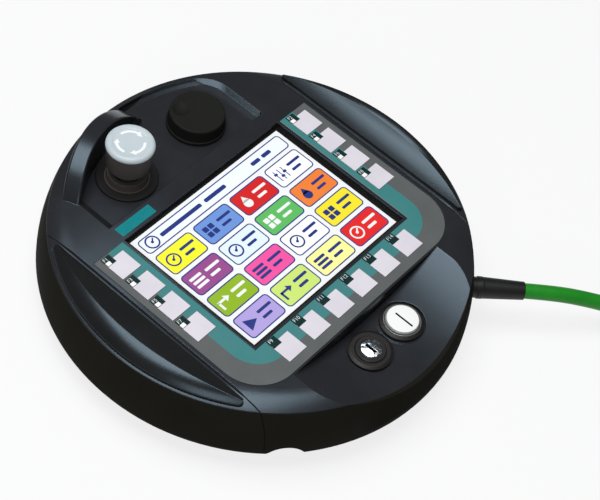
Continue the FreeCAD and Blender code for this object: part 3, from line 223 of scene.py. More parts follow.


# Moulded plastics and rubbers: fine grain, faint cloudiness, edges lightened for wear and as painted
# highlight
cool = (0.62, 0.83, 1.0, 1)
plain = (1, 1, 1, 1)
mouldings = {
    "housing_black": {
        "deep": (0.0175, 0.0175, 0.0200, 1), "pale": (0.0215, 0.0215, 0.0245, 1),
        "wornAndLitEdge": (0.033, 0.034, 0.038, 1), "rough": (0.23, 0.28), "grain": 1500, "lift": 0.06,
        "edge": 0.0006, "gloss": 0.46, "tint": cool,
        # painted shade: a darker colour on steep faces
        "side": {"colour": (0.0100, 0.0095, 0.0085, 1), "steep": (0.45, 0.85)},
        "line": {"bounds": {"X": (-0.054, 0.060, 0.0001),  # painted shade: a dark line at the end of the upper recess
                            "Y": (0.0560, 0.0569, 0.0001)},
                 "colour": (0.0030, 0.0030, 0.0030, 1)},
        "wall": {"radius": 0.11755, "soft": 0.00015, "cloud": (30, 4.0, 0.6),  # painted shade, darker and duller, outside this radius
                 "deep": (0.0120, 0.0113, 0.0088, 1), "pale": (0.0150, 0.0142, 0.0112, 1),
                 "rough": (0.55, 0.65), "gloss": 0.01},
        "leans": [
            {"by": (0, 0, 1.85),  # walls of the upper recess
             "bounds": {"X": (-0.02, 0.075, 0.01), "Y": (0.0575, 0.112, 0.0003),
                        "Z": (0.0438, 0.0499, 0.0003)}},
            {"by": (0, 0, 0.35),  # scoop
             "bounds": {"X": (-0.035, 0.2, 0.012), "Y": (-0.13, -0.06, 0.01),
                        "Z": (0.02, 0.0495, 0.0004)}},
            {"by": (-0.09, -0.06, 0),  # face by the tile
             "bounds": {"X": (-0.0885, -0.060, 0.05), "Y": (0.02, 0.050, 0.05),
                        "Z": (0.0435, 0.0505, 0.0003)}},
        ],
    },
    "pad_black": {
        "deep": (0.0105, 0.0100, 0.0092, 1), "pale": (0.0128, 0.0122, 0.0115, 1),
        "wornAndLitEdge": (0.016, 0.016, 0.016, 1), "rough": (0.23, 0.28), "grain": 2400, "lift": 0.05,
        "edge": 0.0006, "gloss": 0.46, "tint": cool,
        "leans": [
            {"by": (-0.30, 0, 0), "bounds": {"X": (0.0, 0.2, 0.001)}},  # right pad
            {"by": (-0.28, 0, 0), "bounds": {"X": (0.107, 0.2, 0.006)}},  # its outer slope
        ],
    },
    "wheel_black": {
        "deep": (0.0085, 0.0092, 0.0078, 1), "pale": (0.0120, 0.0128, 0.0108, 1),
        "wornAndLitEdge": (0.017, 0.018, 0.016, 1), "rough": (0.62, 0.72), "grain": 2600, "lift": 0.10,
        "edge": 0.0006, "gloss": 0.12, "tint": plain,
    },
    "collarBlack": {
        "deep": (0.0120, 0.0117, 0.0118, 1), "pale": (0.0145, 0.0142, 0.0143, 1),
        "wornAndLitEdge": (0.018, 0.018, 0.018, 1), "rough": (0.55, 0.65), "grain": 2600, "lift": 0.08,
        "edge": 0.0004, "gloss": 0.12, "tint": plain,
        "band": {"middle": (-0.027, 0.0776, 0), "span": (0, 0.0126),  # neck
                 "colour": (0.072, 0.060, 0.056, 1)},
    },
    "bezelBlack": {
        "deep": (0.0115, 0.0098, 0.0092, 1), "pale": (0.0145, 0.0124, 0.0117, 1),
        "wornAndLitEdge": (0.035, 0.032, 0.031, 1), "rough": (0.40, 0.50), "grain": 2400, "lift": 0.06,
        "edge": 0.0005, "gloss": 0.3, "tint": plain,
    },
    "seal_rubber": {
        "deep": (0.012, 0.012, 0.012, 1), "pale": (0.018, 0.018, 0.018, 1),
        "wornAndLitEdge": (0.03, 0.03, 0.03, 1), "rough": (0.7, 0.8), "grain": 3000, "lift": 0.10,
        "edge": 0.0003, "gloss": 0.3, "tint": plain,
    },
    "module_dark": {
        "deep": (0.035, 0.036, 0.04, 1), "pale": (0.05, 0.051, 0.055, 1),
        "wornAndLitEdge": (0.09, 0.09, 0.095, 1), "rough": (0.45, 0.6), "grain": 1800, "lift": 0.08,
        "edge": 0.0004, "gloss": 0.4, "tint": plain,
    },
    "stop_dark": {
        "deep": (0.080, 0.067, 0.063, 1), "pale": (0.095, 0.080, 0.076, 1),
        "wornAndLitEdge": (0.14, 0.12, 0.115, 1), "rough": (0.48, 0.58), "grain": 2200, "lift": 0.06,
        "edge": 0.0005, "gloss": 0.35, "tint": plain,
    },
    "stop_pale": {
        "deep": (0.49, 0.56, 0.59, 1), "pale": (0.55, 0.62, 0.65, 1),
        "wornAndLitEdge": (0.66, 0.72, 0.74, 1), "rough": (0.36, 0.44), "grain": 2000, "lift": 0.05,
        "edge": 0.0006, "gloss": 0.45, "tint": plain,
    },
    "key_pale": {
        "deep": (0.67, 0.63, 0.69, 1), "pale": (0.74, 0.70, 0.76, 1),
        "wornAndLitEdge": (0.78, 0.76, 0.80, 1), "rough": (0.55, 0.65), "grain": 2600, "lift": 0.06,
        "edge": 0.0003, "gloss": 0.25, "tint": plain,
    },
    "boot_black": {
        "deep": (0.005, 0.005, 0.005, 1), "pale": (0.0075, 0.0075, 0.0075, 1),
        "wornAndLitEdge": (0.025, 0.025, 0.027, 1), "rough": (0.42, 0.52), "grain": 2200, "lift": 0.08,
        "edge": 0.0005, "gloss": 0.35, "tint": plain,
    },
    "lens_white": {
        "deep": (0.90, 0.90, 0.89, 1), "pale": (0.95, 0.95, 0.94, 1),
        "wornAndLitEdge": (0.95, 0.95, 0.95, 1), "rough": (0.24, 0.32), "grain": 900, "lift": 0.03,
        "edge": 0.0004, "gloss": 0.5, "tint": plain,
        "band": {"middle": (0.0136, -0.0897, 0), "span": (0.0089, 0.02),  # grey border
                 "colour": (0.27, 0.29, 0.28, 1)},
    },
}
mouldedSkin = {  # what all mouldings share
    "cloud": (38, 4.0, 0.6), "grain": (2.0, 0.55), "depth": 0.0002,
    "wearAndHighlight": (0.25, 0.65), "bandSoft": 0.00015,
    "shares": (0.7, 0.3), "span": (0.35, 0.65),  # cloud and grain in the roughness
}


def shadedWallCopy(wire, shader, look, normal):  # painted shade: the outer wall gets a darker, nearly unreflecting copy of the face's material
    place = spot(wire)
    cloud = speckle(wire, place, look["cloud"])
    dull = wire.node("ShaderNodeBsdfPrincipled", None,
                     {"Base Color": mottle(wire, cloud, look),
                      "Roughness": vary(wire, cloud, *look["rough"]),
                      "Specular IOR Level": look["gloss"], "Normal": normal}, out="BSDF")
    reach = awayFrom(wire, place, (0, 0, 0))
    low, high = look["radius"] - look["soft"], look["radius"] + look["soft"]
    coverWith(wire, shader, spread(wire, reach, low, high), dull)


def mouldedFinish(name, look, skin):
    material, wire, shader = startFinish(name, **{"Specular IOR Level": look["gloss"],
                                                  "Specular Tint": look["tint"]})
    place = spot(wire)
    cloud = speckle(wire, place, skin["cloud"])
    grain = speckle(wire, place, (look["grain"], *skin["grain"]))
    rounded = softEdges(wire, look["edge"])
    edges = bareEdges(wire, rounded)
    body = mottle(wire, cloud, look)
    if "side" in look:  # painted shade: steep faces get a darker base colour
        facing = wire.node("ShaderNodeNewGeometry", out="Normal")
        level = spread(wire, axisOf(wire, facing, "Z"), *look["side"]["steep"])
        body = blendColours(wire, level, look["side"]["colour"], body)
    # painted shade: a dark line along an edge of the upper recess
    if "line" in look:
        inside = inRegion(wire, place, look["line"]["bounds"])
        body = blendColours(wire, inside, body, look["line"]["colour"])
    if "band" in look:
        reach = awayFrom(wire, place, look["band"]["middle"])
        inside = within(wire, reach, *look["band"]["span"], skin["bandSoft"])
        body = blendColours(wire, inside, body, look["band"]["colour"])
    # lighter edges: partly wear, partly painted highlight
    wornAndLitEdge = edges * spread(wire, cloud, *skin["wearAndHighlight"])
    feed(shader, "Base Color", blendColours(wire, wornAndLitEdge, body, look["wornAndLitEdge"]))
    cloudShare, grainShare = skin["shares"]
    mixed = cloud * cloudShare + grain * grainShare
    feed(shader, "Roughness", spread(wire, mixed, *skin["span"], *look["rough"]))
    normal = dent(wire, grain, (1.0 - edges) * look["lift"], skin["depth"], rounded)
    for region in look.get("leans", []):
        normal = lean(wire, normal, region)
    feed(shader, "Normal", normal)
    if "wall" in look:
        shadedWallCopy(wire, shader, look["wall"], normal)
    return material


finishes = {name: mouldedFinish(name, look, mouldedSkin) for name, look in mouldings.items()}

# Metals: fine scratches and dulled patches
metals = {
    "steel": {"colour": (0.50, 0.50, 0.51, 1), "rough": (0.26, 0.42), "lines": 2600},
    "bush_brass": {"colour": (0.62, 0.45, 0.19, 1), "rough": (0.26, 0.40), "lines": 2600},
    "connector_metal": {"colour": (0.52, 0.53, 0.55, 1), "rough": (0.28, 0.42), "lines": 2200},
    "ringChrome": {"colour": (0.30, 0.31, 0.31, 1), "rough": (0.30, 0.42), "lines": 1800},
}
metalSkin = {
    "stretch": (1, 1, 14), "across": 6, "scratch": (3.0, 0.6),
    "cloud": (120, 3.0, 0.5), "patch": (0.35, 0.65), "dulled": 0.72,
    "lift": 0.06, "depth": 0.0002, "edge": 0.0003,
}


def metalFinish(name, look, skin):
    material, wire, shader = startFinish(name, Metallic=1.0)
    place = spot(wire)
    drawn = wire.node("ShaderNodeMapping", None, {"Vector": place, "Scale": skin["stretch"]})
    scratch = speckle(wire, drawn, (look["lines"] / skin["across"], *skin["scratch"]))
    patch = spread(wire, speckle(wire, place, skin["cloud"]), *skin["patch"])
    red, green, blue, alpha = look["colour"]
    dull = (red * skin["dulled"], green * skin["dulled"], blue * skin["dulled"], alpha)
    feed(shader, "Base Color", blendColours(wire, patch, dull, look["colour"]))
    feed(shader, "Roughness", vary(wire, scratch, *look["rough"]))
    edges = softEdges(wire, skin["edge"])
    feed(shader, "Normal", dent(wire, scratch, skin["lift"], skin["depth"], edges))
    return material


finishes.update({name: metalFinish(name, look, metalSkin) for name, look in metals.items()})

# Lock plug: bright domed face, painted shade inside the keyway
plugLook = {
    "middle": (-0.0105, -0.0895, 0), "dome": 38.0, "edge": 0.0004,
    "deep": (0.26, 0.29, 0.32, 1), "pale": (0.62, 0.65, 0.68, 1), "keywayShade": (0.010, 0.010, 0.010, 1),
    "keyway": (0.0012, 0.0002),  # depths below the face: full painted shade, no painted shade
    "ripple": (420, 2.0, 0.5), "rippleSpan": (0.4, 0.6), "lift": 0.45, "depth": 0.0008,
    "scratch": (1800, 3.0, 0.6), "rough": (0.14, 0.24),
}


def plugFinish(look, top):
    material, wire, shader = startFinish("plugChrome")
    place = spot(wire)
    keywayShade, bright = look["keyway"]
    proud = spread(wire, axisOf(wire, place, "Z"), top - keywayShade, top - bright)
    ripple = speckle(wire, place, look["ripple"])
    shine = blendColours(wire, spread(wire, ripple, *look["rippleSpan"]), look["deep"], look["pale"])
    # painted shade: dark and not metallic deep in the keyway
    feed(shader, "Base Color", blendColours(wire, proud, look["keywayShade"], shine))
    feed(shader, "Metallic", proud)
    feed(shader, "Roughness", vary(wire, speckle(wire, place, look["scratch"]), *look["rough"]))
    swell = scaled(wire, outward(wire, place, look["middle"]), look["dome"])
    domed = unit(wire, vectorSum(wire, "ADD", softEdges(wire, look["edge"]), swell))
    feed(shader, "Normal", dent(wire, ripple, look["lift"], look["depth"], domed))
    return material


finishes["plugChrome"] = plugFinish(plugLook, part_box("lock_plug")[1][2])

# Printed film: a teal band next to the display, a grey band outside it, and a painted highlight on
# its inner edge right of the display
filmPrint = {
    "teal": (0.038, 0.205, 0.208, 1), "grey": (0.098, 0.104, 0.104, 1),
    "side": 0.0752, "bottom": -0.0626, "corner": 0.0188, "soft": 0.00012,  # outline of the teal
    "rim": {"bounds": {"X": (0.0643, 0.06465, 0.0001),  # painted highlight on the inner edge, right of the display
                       "Y": (-0.0507, 0.2, 0.0001)},
            "colour": (0.20, 0.22, 0.22, 1)},
    "cloud": (60, 3.0, 0.5), "haze": (0.3, 0.34, 0.34, 1), "hazeMost": 0.06,
    "fibre": (2600, 2.0, 0.5), "rough": (0.52, 0.62), "gloss": 0.25,
    "lift": 0.08, "depth": 0.0001, "edge": 0.0003,
}


def tealArea(wire, place, look):  # 1 inside a round-cornered outline, open at the top
    sideways = wire.sum("ABSOLUTE", axisOf(wire, place, "X"))
    outX = sideways - (look["side"] - look["corner"])
    outY = (look["bottom"] + look["corner"]) - axisOf(wire, place, "Y")
    pastX = wire.sum("MAXIMUM", outX, 0.0)
    pastY = wire.sum("MAXIMUM", outY, 0.0)
    reach = wire.sum("SQRT", pastX * pastX + pastY * pastY)
    inner = wire.sum("MINIMUM", wire.sum("MAXIMUM", outX, outY), 0.0)
    return spread(wire, reach + inner - look["corner"], look["soft"], -look["soft"])


def filmFinish(look):
    material, wire, shader = startFinish("film_print", **{"Specular IOR Level": look["gloss"]})
    place = spot(wire)
    fibre = speckle(wire, place, look["fibre"])
    cloud = speckle(wire, place, look["cloud"])
    printed = blendColours(wire, tealArea(wire, place, look), look["grey"], look["teal"])
    # painted highlight along the film's inner edge
    rim = inRegion(wire, place, look["rim"]["bounds"])
    printed = blendColours(wire, rim, printed, look["rim"]["colour"])
    haze = vary(wire, cloud, 0.0, look["hazeMost"])
    feed(shader, "Base Color", blendColours(wire, haze, printed, look["haze"]))
    feed(shader, "Roughness", vary(wire, fibre, *look["rough"]))
    edges = softEdges(wire, look["edge"])
    feed(shader, "Normal", dent(wire, fibre, look["lift"], look["depth"], edges))
    return material


finishes["film_print"] = filmFinish(filmPrint)

# Display glass: printed black border under a hard gloss
glassLook = {
    "deep": (0.006, 0.006, 0.007, 1), "pale": (0.010, 0.010, 0.011, 1), "bend": 1.5,
    "smear": (46, 4.0, 0.6), "rough": (0.16, 0.26),
}


def glassFinish(look):
    material, wire, shader = startFinish("screen_glass", IOR=look["bend"])
    smear = speckle(wire, spot(wire), look["smear"])
    feed(shader, "Base Color", blendColours(wire, smear, look["deep"], look["pale"]))
    feed(shader, "Roughness", vary(wire, smear, *look["rough"]))
    return material


finishes["screen_glass"] = glassFinish(glassLook)

# Circuit boards: lacquered green with paler tracks
boardLook = {
    "deep": (0.012, 0.11, 0.035, 1), "track": (0.03, 0.21, 0.07, 1),
    "pitch": 130.0, "width": 0.06, "lift": 0.2, "depth": 0.00005,
    "grain": (700, 2.0, 0.5), "rough": (0.3, 0.45),
}


def boardFinish(look):
    material, wire, shader = startFinish("board_green")
    place = spot(wire)
    tracks = wire.node("ShaderNodeTexBrick", {"offset": 0.5},
                       {"Vector": place, "Scale": look["pitch"], "Mortar Size": look["width"]},
                       out="Fac")
    feed(shader, "Base Color", blendColours(wire, tracks, look["deep"], look["track"]))
    feed(shader, "Roughness", vary(wire, speckle(wire, place, look["grain"]), *look["rough"]))
    feed(shader, "Normal", dent(wire, tracks, look["lift"], look["depth"]))
    return material


finishes["board_green"] = boardFinish(boardLook)

# Cable jacket, made in the same way as the inks further on
jacketLook = {
    "deep": (0.014, 0.225, 0.016, 1), "pale": (0.020, 0.285, 0.022, 1), "rough": (0.30, 0.42),
    "gloss": 0.25, "cloud": (55, 4.0, 0.6), "grain": (1300, 2.0, 0.5), "lift": 0.05, "depth": 0.0002,
}


def coatFinish(name, look):
    material, wire, shader = startFinish(name, **{"Specular IOR Level": look["gloss"]})
    place = spot(wire)
    grain = speckle(wire, place, look["grain"])
    feed(shader, "Base Color", mottle(wire, speckle(wire, place, look["cloud"]), look))
    feed(shader, "Roughness", vary(wire, grain, *look["rough"]))
    feed(shader, "Normal", dent(wire, grain, look["lift"], look["depth"]))
    return material


finishes["cable_green"] = coatFinish("cable_green", jacketLook)

ownFinish = {  # nodes that look unlike their slot
    "lock_plug": "plugChrome", "lock_barrel": "bezelBlack", "lock_bezel": "bezelBlack",
    "button_bezel": "bezelBlack", "button_ring": "ringChrome", "stop_collar": "collarBlack",
}
for row in frame["record"]["subparts"]:
    shown = nodes[row["node"]]
    shown.data.materials.clear()
    shown.data.materials.append(finishes[ownFinish.get(row["node"], row["material_slot"])])
print("finishes on all nodes")

# Cable: the route's points, the coil of the put-away length, and the tail
cableLay = {
    "route": [(0.0905, -0.120846, 0.027), (0.103164, -0.13501, 0.027),
              (0.118455, -0.151216, 0.0222), (0.134655, -0.168616, 0.0146),
              (0.151955, -0.194916, 0.0074)],
    "middle": (0.212854, -0.180797),
    "rows": (0.049, 0.058), "layers": (0.0059, 0.0149, 0.0239),  # radii and heights of the turns
    "turns": [(1, 0), (0, 0), (0, 1), (0, 2), (1, 2), (1, 1)],  # row and layer of each turn
    "shifts": [(70, 0), (150, 70), (230, 150), (70, 0), (150, 70)],  # degrees before a turn's end
    "start": -145.0, "sweep": 1945.0, "step": 18.0,  # degrees
    "tail": [(0.270854, -0.165797, 0.0125), (0.270854, -0.150797, 0.0105),
             (0.270854, -0.135797, 0.0105)],
    "diameter": 0.009, "length": 2.0, "smooth": 6,
    "carried": ("strain_relief", "cable_tie", "connector_shell", "coupling_ring"),
}


def coilPoints(lay):
    points = []
    for index in range(int(lay["sweep"] // lay["step"]) + 1):
        swept = index * lay["step"]
        turn = min(int(swept // 360), len(lay["turns"]) - 1)
        row, layer = lay["turns"][turn]
        radius, height = lay["rows"][row], lay["layers"][layer]
        if turn < len(lay["shifts"]):  # moves over to the next turn's place
            nextRow, nextLayer = lay["turns"][turn + 1]
            begin, done = lay["shifts"][turn]
            left = 360 * (turn + 1) - swept
            part = min(max((begin - left) / (begin - done), 0.0), 1.0)
            part = part * part * (3 - 2 * part)
            radius += (lay["rows"][nextRow] - radius) * part
            height += (lay["layers"][nextLayer] - height) * part
        angle = math.radians(lay["start"] + swept)
        x, y = lay["middle"]
        points.append((x + radius * math.cos(angle), y + radius * math.sin(angle), height))
    return points


def addCable(lay):
    data = bpy.data.curves.new("panel_cable", "CURVE")
    data.dimensions = "3D"
    data.bevel_depth = lay["diameter"] / 2
    data.bevel_resolution = lay["smooth"]
    data.resolution_u = lay["smooth"]
    data.use_fill_caps = True
    points = lay["route"] + coilPoints(lay) + lay["tail"]
    line = data.splines.new("NURBS")
    line.points.add(len(points) - 1)
    for point, (x, y, z) in zip(line.points, points):
        point.co = (x, y, z, 1)
    line.order_u = 3
    line.use_endpoint_u = True
    cable = bpy.data.objects.new("panel_cable", data)
    scene.collection.objects.link(cable)
    data.materials.append(finishes["cable_green"])
    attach(cable, "housing")
    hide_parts("cable", "cable_coil", "cable_tail")


addCable(cableLay)
print("cable laid")

# Printed and inlaid details: flat outlines in millimetres, laid on the surface that carries them
laid = {"thick": 0.03, "layer": 0.01}


def box(low, high):
    return [(low[0], low[1]), (high[0], low[1]), (high[0], high[1]), (low[0], high[1])]


def roundBox(low, high, corner, steps=5):
    points = []
    middles = [(high[0] - corner, high[1] - corner), (low[0] + corner, high[1] - corner),
               (low[0] + corner, low[1] + corner), (high[0] - corner, low[1] + corner)]
    for quarter, (x, y) in enumerate(middles):
        for step in range(steps + 1):
            angle = math.radians(90 * (quarter + step / steps))
            points.append((x + corner * math.cos(angle), y + corner * math.sin(angle)))
    return points


def roundAbout(x, y, wide, tall, corner):  # a round box from its middle and its half sizes
    return roundBox((x - wide, y - tall), (x + wide, y + tall), corner)


def disc(x, y, radius, steps=28):
    turns = [2 * math.pi * step / steps for step in range(steps)]
    return [(x + radius * math.cos(turn), y + radius * math.sin(turn)) for turn in turns]


def bow(x, y, inner, outer, start, end, steps=24):  # a band along an arc
    angles = [math.radians(start + (end - start) * step / steps) for step in range(steps + 1)]
    out = [(x + outer * math.cos(angle), y + outer * math.sin(angle)) for angle in angles]
    back = [(x + inner * math.cos(angle), y + inner * math.sin(angle)) for angle in reversed(angles)]
    return out + back


def stroke(first, last, width):
    along = Vector(last) - Vector(first)
    side = Vector((-along.y, along.x)).normalized() * width / 2
    corners = [Vector(first) + side, Vector(first) - side, Vector(last) - side, Vector(last) + side]
    return [tuple(corner) for corner in corners]


def flat(outline, colour=plain, layer=0):
    return outline, colour, layer


def inMetres(x, y, z):
    return x / 1000, y / 1000, z / 1000


def addPiece(name, mesh, body, finish):
    mesh.materials.append(finishes[finish])
    piece = bpy.data.objects.new(name, mesh)
    scene.collection.objects.link(piece)
    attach(piece, body)


def layFlat(name, shapes, level, body, finish):
    build = bmesh.new()
    tint = build.loops.layers.float_color.new("tint")
    for outline, colour, layer in shapes:
        top = level + laid["thick"] + layer * laid["layer"]
        upper = [build.verts.new(inMetres(x, y, top)) for x, y in outline]
        lower = [build.verts.new(inMetres(x, y, level)) for x, y in outline]
        faces = [build.faces.new(upper)]
        for index in range(len(upper)):
            after = (index + 1) % len(upper)
            faces.append(build.faces.new((upper[index], lower[index], lower[after], upper[after])))
        for face in faces:
            for loop in face.loops:
                loop[tint] = colour
    bmesh.ops.recalc_face_normals(build, faces=build.faces)
    mesh = bpy.data.meshes.new(name)
    build.to_mesh(mesh)
    build.free()
    addPiece(name, mesh, body, finish)


inks = {
    "labelInk": {"deep": (0.0012, 0.020, 0.020, 1), "pale": (0.0016, 0.027, 0.027, 1),
                 "rough": (0.5, 0.6)},
    "letterInk": {"deep": (0.62, 0.63, 0.63, 1), "pale": (0.74, 0.75, 0.75, 1),
                  "rough": (0.5, 0.62)},
    "lampInk": {"deep": (0.90, 0.90, 0.89, 1), "pale": (0.95, 0.95, 0.94, 1),
                "rough": (0.3, 0.4)},
    "tealInk": {"deep": (0.003, 0.195, 0.215, 1), "pale": (0.005, 0.220, 0.238, 1),
                "rough": (0.4, 0.5)},
    "arrowInk": {"deep": (0.84, 0.86, 0.87, 1), "pale": (0.90, 0.91, 0.92, 1),
                 "rough": (0.35, 0.45)},
    "barInk": {"deep": (0.008, 0.008, 0.009, 1), "pale": (0.014, 0.014, 0.015, 1),
               "rough": (0.4, 0.5)},
    "markInk": {"deep": (0.003, 0.003, 0.003, 1), "pale": (0.005, 0.005, 0.005, 1),
                "rough": (0.45, 0.55)},
}
inkSkin = {"gloss": 0.15, "cloud": (420, 3.0, 0.6), "grain": (3600, 2.0, 0.5),
           "lift": 0.05, "depth": 0.00005}
finishes.update({name: coatFinish(name, {**inkSkin, **look}) for name, look in inks.items()})

# Key tags: a dark label at each key's upper left corner, lettered above the key
keyTags = {
    "columns": (-75.15, 75.15), "rows": 4, "rowTop": 34.05, "rowPitch": 18.0,
    "bottomKeys": 6, "bottomRow": -61.1, "bottomPitch": 19.9,
    "half": 6.8, "film": 50.0, "key": 50.3,  # half a key, levels of the film and of the keys
    "width": 6.1, "above": 3.3, "below": 2.8, "gap": 0.2,
    "lamps": 8, "lamp": ((0.3, -2.5), (3.2, -0.1)),  # light squares, on the side keys only
    "letters": {"height": 2.3, "font": 1.38, "thick": 0.01, "place": (0.7, 0.65), "lift": 0.05},
}


def keyCorners(look):
    corners = []
    for row in range(look["rows"]):
        for x in look["columns"]:
            y = look["rowTop"] - row * look["rowPitch"]
            corners.append((x - look["half"], y + look["half"]))
    for column in range(look["bottomKeys"]):
        x = (column - (look["bottomKeys"] - 1) / 2) * look["bottomPitch"]
        corners.append((x - look["half"], look["bottomRow"] + look["half"]))
    return corners


def addLetters(name, words, level, look, body, finish):
    build = bmesh.new()
    for word, x, y in words:
        text = bpy.data.curves.new(name, "FONT")
        text.body = word
        text.size = look["height"] * look["font"] / 1000
        text.extrude = look["thick"] / 1000
        written = bpy.data.objects.new(name, text)
        outline = bpy.data.meshes.new_from_object(written)
        outline.transform(Matrix.Translation(inMetres(x, y, level)))
        build.from_mesh(outline)
        bpy.data.objects.remove(written)
        bpy.data.curves.remove(text)
        bpy.data.meshes.remove(outline)
    mesh = bpy.data.meshes.new(name)
    build.to_mesh(mesh)
    build.free()
    addPiece(name, mesh, body, finish)


def addKeyTags(look):
    upper = []
    words = []
    right, rise = look["letters"]["place"]
    for number, (x, y) in enumerate(keyCorners(look), 1):
        key = f"key_{number:02d}"
        upper.append(flat(box((x, y + look["gap"]), (x + look["width"], y + look["above"]))))
        words.append((f"F{number}", x + right, y + rise))
        tag = box((x, y - look["below"]), (x + look["width"], y))
        layFlat(f"{key}_tag", [flat(tag)], look["key"], key, "labelInk")
        if number <= look["lamps"]:
            low, high = look["lamp"]
            lamp = box((x + low[0], y + low[1]), (x + high[0], y + high[1]))
            level = look["key"] + laid["thick"]
            layFlat(f"{key}_lamp", [flat(lamp)], level, key, "lampInk")
    layFlat("key_tags", upper, look["film"], "housing", "labelInk")
    level = look["film"] + look["letters"]["lift"]
    addLetters("key_names", words, level, look["letters"], "housing", "letterInk")


addKeyTags(keyTags)
print("key tags laid")

# Small marks: the plain tile, the stop arrows, the lens bar and the key switch dots
tile = {"low": (-61.5, 47.1), "high": (-35.8, 53.7), "corner": 0.3, "face": 50.0}
arrows = {
    "spans": [(88, -12), (-44, -139), (198, 118)],  # degrees
    "middle": (-27.0, 77.6), "radius": 7.7, "width": 1.5, "cap": 74.2,
    "head": 3.2, "headWide": 0.55, "tipIn": 0.2,
}
lensBar = {"low": (13.05, -96.6), "high": (14.15, -84.6), "corner": 0.4, "lens": 42.8}
lockDots = {
    "places": [(-13.4, -75.6), (1.6, -89.8), (-29.8, -90.3)], "radius": 0.45,
    "scoop": 161.04, "floor": 38.0,  # radius of the scoop and its lowest level
}


def arrowShapes(look):
    radius, half = look["radius"], look["width"] / 2
    wide = look["head"] * look["headWide"]
    x, y = look["middle"]
    shapes = []
    for start, end in look["spans"]:
        neck = end + math.degrees(look["head"] / radius)
        shapes.append(flat(bow(x, y, radius - half, radius + half, start, neck)))
        head = []
        corners = [(radius - wide, neck), (radius + wide, neck), (radius - look["tipIn"], end)]
        for away, angle in corners:
            turn = math.radians(angle)
            head.append((x + away * math.cos(turn), y + away * math.sin(turn)))
        shapes.append(flat(head))
    return shapes


def addDots(look):
    for number, (x, y) in enumerate(look["places"], 1):
        reach = abs(x) + look["radius"]
        rise = look["scoop"] - math.sqrt(look["scoop"] ** 2 - reach ** 2)
        shapes = [flat(disc(x, y, look["radius"]))]
        level = look["floor"] + rise
        layFlat(f"lock_mark_{number}", shapes, level, "housing", "markInk")


tileShape = flat(roundBox(tile["low"], tile["high"], tile["corner"]))
layFlat("plain_tile", [tileShape], tile["face"], "housing", "tealInk")
layFlat("twist_arrows", arrowShapes(arrows), arrows["cap"], "stop_head", "arrowInk")
barShape = flat(roundBox(lensBar["low"], lensBar["high"], lensBar["corner"]))
layFlat("lens_bar", [barShape], lensBar["lens"], "lit_button", "barInk")
addDots(lockDots)
print("marks laid")

# Screen picture: a plain menu of coloured tiles with simple signs
menu = {
    "low": (-60.05, -46.85), "high": (60.05, 43.25), "glass": 46.5,
    "navy": (0.012, 0.028, 0.19, 1), "white": (0.80, 0.81, 0.81, 1), "pale": (0.80, 0.84, 0.90, 1),
    "columns": 4, "rows": 4, "head": 13.0, "edge": 2.2, "space": 2.4, "line": 0.75, "corner": 2.6,
    "words": [(-44, -12), (-9, 8), (30, 37), (39, 46)], "wordTall": 2.6, "wordCorner": 0.9,
    "headSign": 9.5, "tileSign": 7.2,  # from the left edge
    "bars": [(2.2, 10.5), (-2.2, 7.0)], "barStart": 14.2, "barHalf": 0.9, "barCorner": 0.6,
    "darkFill": 0.75,  # red, green and blue added up
    "fills": [(0.86, 0.83, 0.02, 1), (0.14, 0.27, 0.62, 1), (0.60, 0.012, 0.012, 1),
              (0.88, 0.90, 0.92, 1), (0.28, 0.06, 0.24, 1), (0.70, 0.80, 0.90, 1),
              (0.10, 0.45, 0.10, 1), (0.80, 0.20, 0.03, 1), (0.25, 0.42, 0.01, 1),
              (0.80, 0.08, 0.33, 1), (0.90, 0.92, 0.92, 1), (0.86, 0.72, 0.02, 1),
              (0.40, 0.32, 0.66, 1), (0.55, 0.72, 0.16, 1), (0.90, 0.85, 0.30, 1),
              (0.70, 0.015, 0.015, 1)],
}
signs = {  # outlines about the sign's middle, in ink or paper, and their layer
    "dial": [(disc(0, 0, 4.4), "ink", 3), (disc(0, 0, 3.4), "paper", 4),
             (stroke((0, 0), (2.1, 2.1), 0.9), "ink", 5), (disc(0, 0, 0.9), "ink", 6)],
    "sliders": [shape for across, knob in ((-3.0, 1.6), (0.0, -1.4), (3.0, 0.4))
                for shape in ((stroke((across, -4.2), (across, 4.2), 0.6), "ink", 3),
                              (roundAbout(across, knob, 1.2, 0.8, 0.4), "ink", 4))],
    "turning": [(stroke((-3.6, -3.8), (-3.6, 1.8), 1.4), "ink", 3),
                (stroke((-4.3, 1.4), (1.4, 1.4), 1.4), "ink", 3),
                ([(1.2, 3.8), (1.2, -1.0), (4.4, 1.4)], "ink", 3)],
    "squares": [(roundAbout(across, along, 1.7, 1.7, 0.5), "ink", 3)
                for across in (-2.1, 2.1) for along in (-2.1, 2.1)],
    "power": [(bow(0, 0, 3.0, 4.2, 125, 415), "ink", 3),
              (stroke((0, 0.4), (0, 4.8), 1.2), "ink", 3)],
    "plates": [(roundAbout(0, along, 4.2, 0.9, 0.5), "ink", 3) for along in (-3.0, 0.0, 3.0)],
    "drop": [(disc(0, -1.2, 2.9), "ink", 3), ([(-2.6, 0.1), (2.6, 0.1), (0, 4.6)], "ink", 3)],
    "wedge": [([(-3.2, -4.0), (4.4, 0), (-3.2, 4.0)], "ink", 3)],
}


def signShapes(kind, x, y, ink, paper):
    shapes = []
    for outline, colour, layer in signs[kind]:
        moved = [(x + across, y + along) for across, along in outline]
        shapes.append(flat(moved, ink if colour == "ink" else paper, layer))
    return shapes


def framed(low, high, look, fill):  # a round box with a dark line round it
    line, corner = look["line"], look["corner"]
    inner = roundBox((low[0] + line, low[1] + line), (high[0] - line, high[1] - line), corner - line)
    return [flat(roundBox(low, high, corner), look["navy"], 1), flat(inner, fill, 2)]


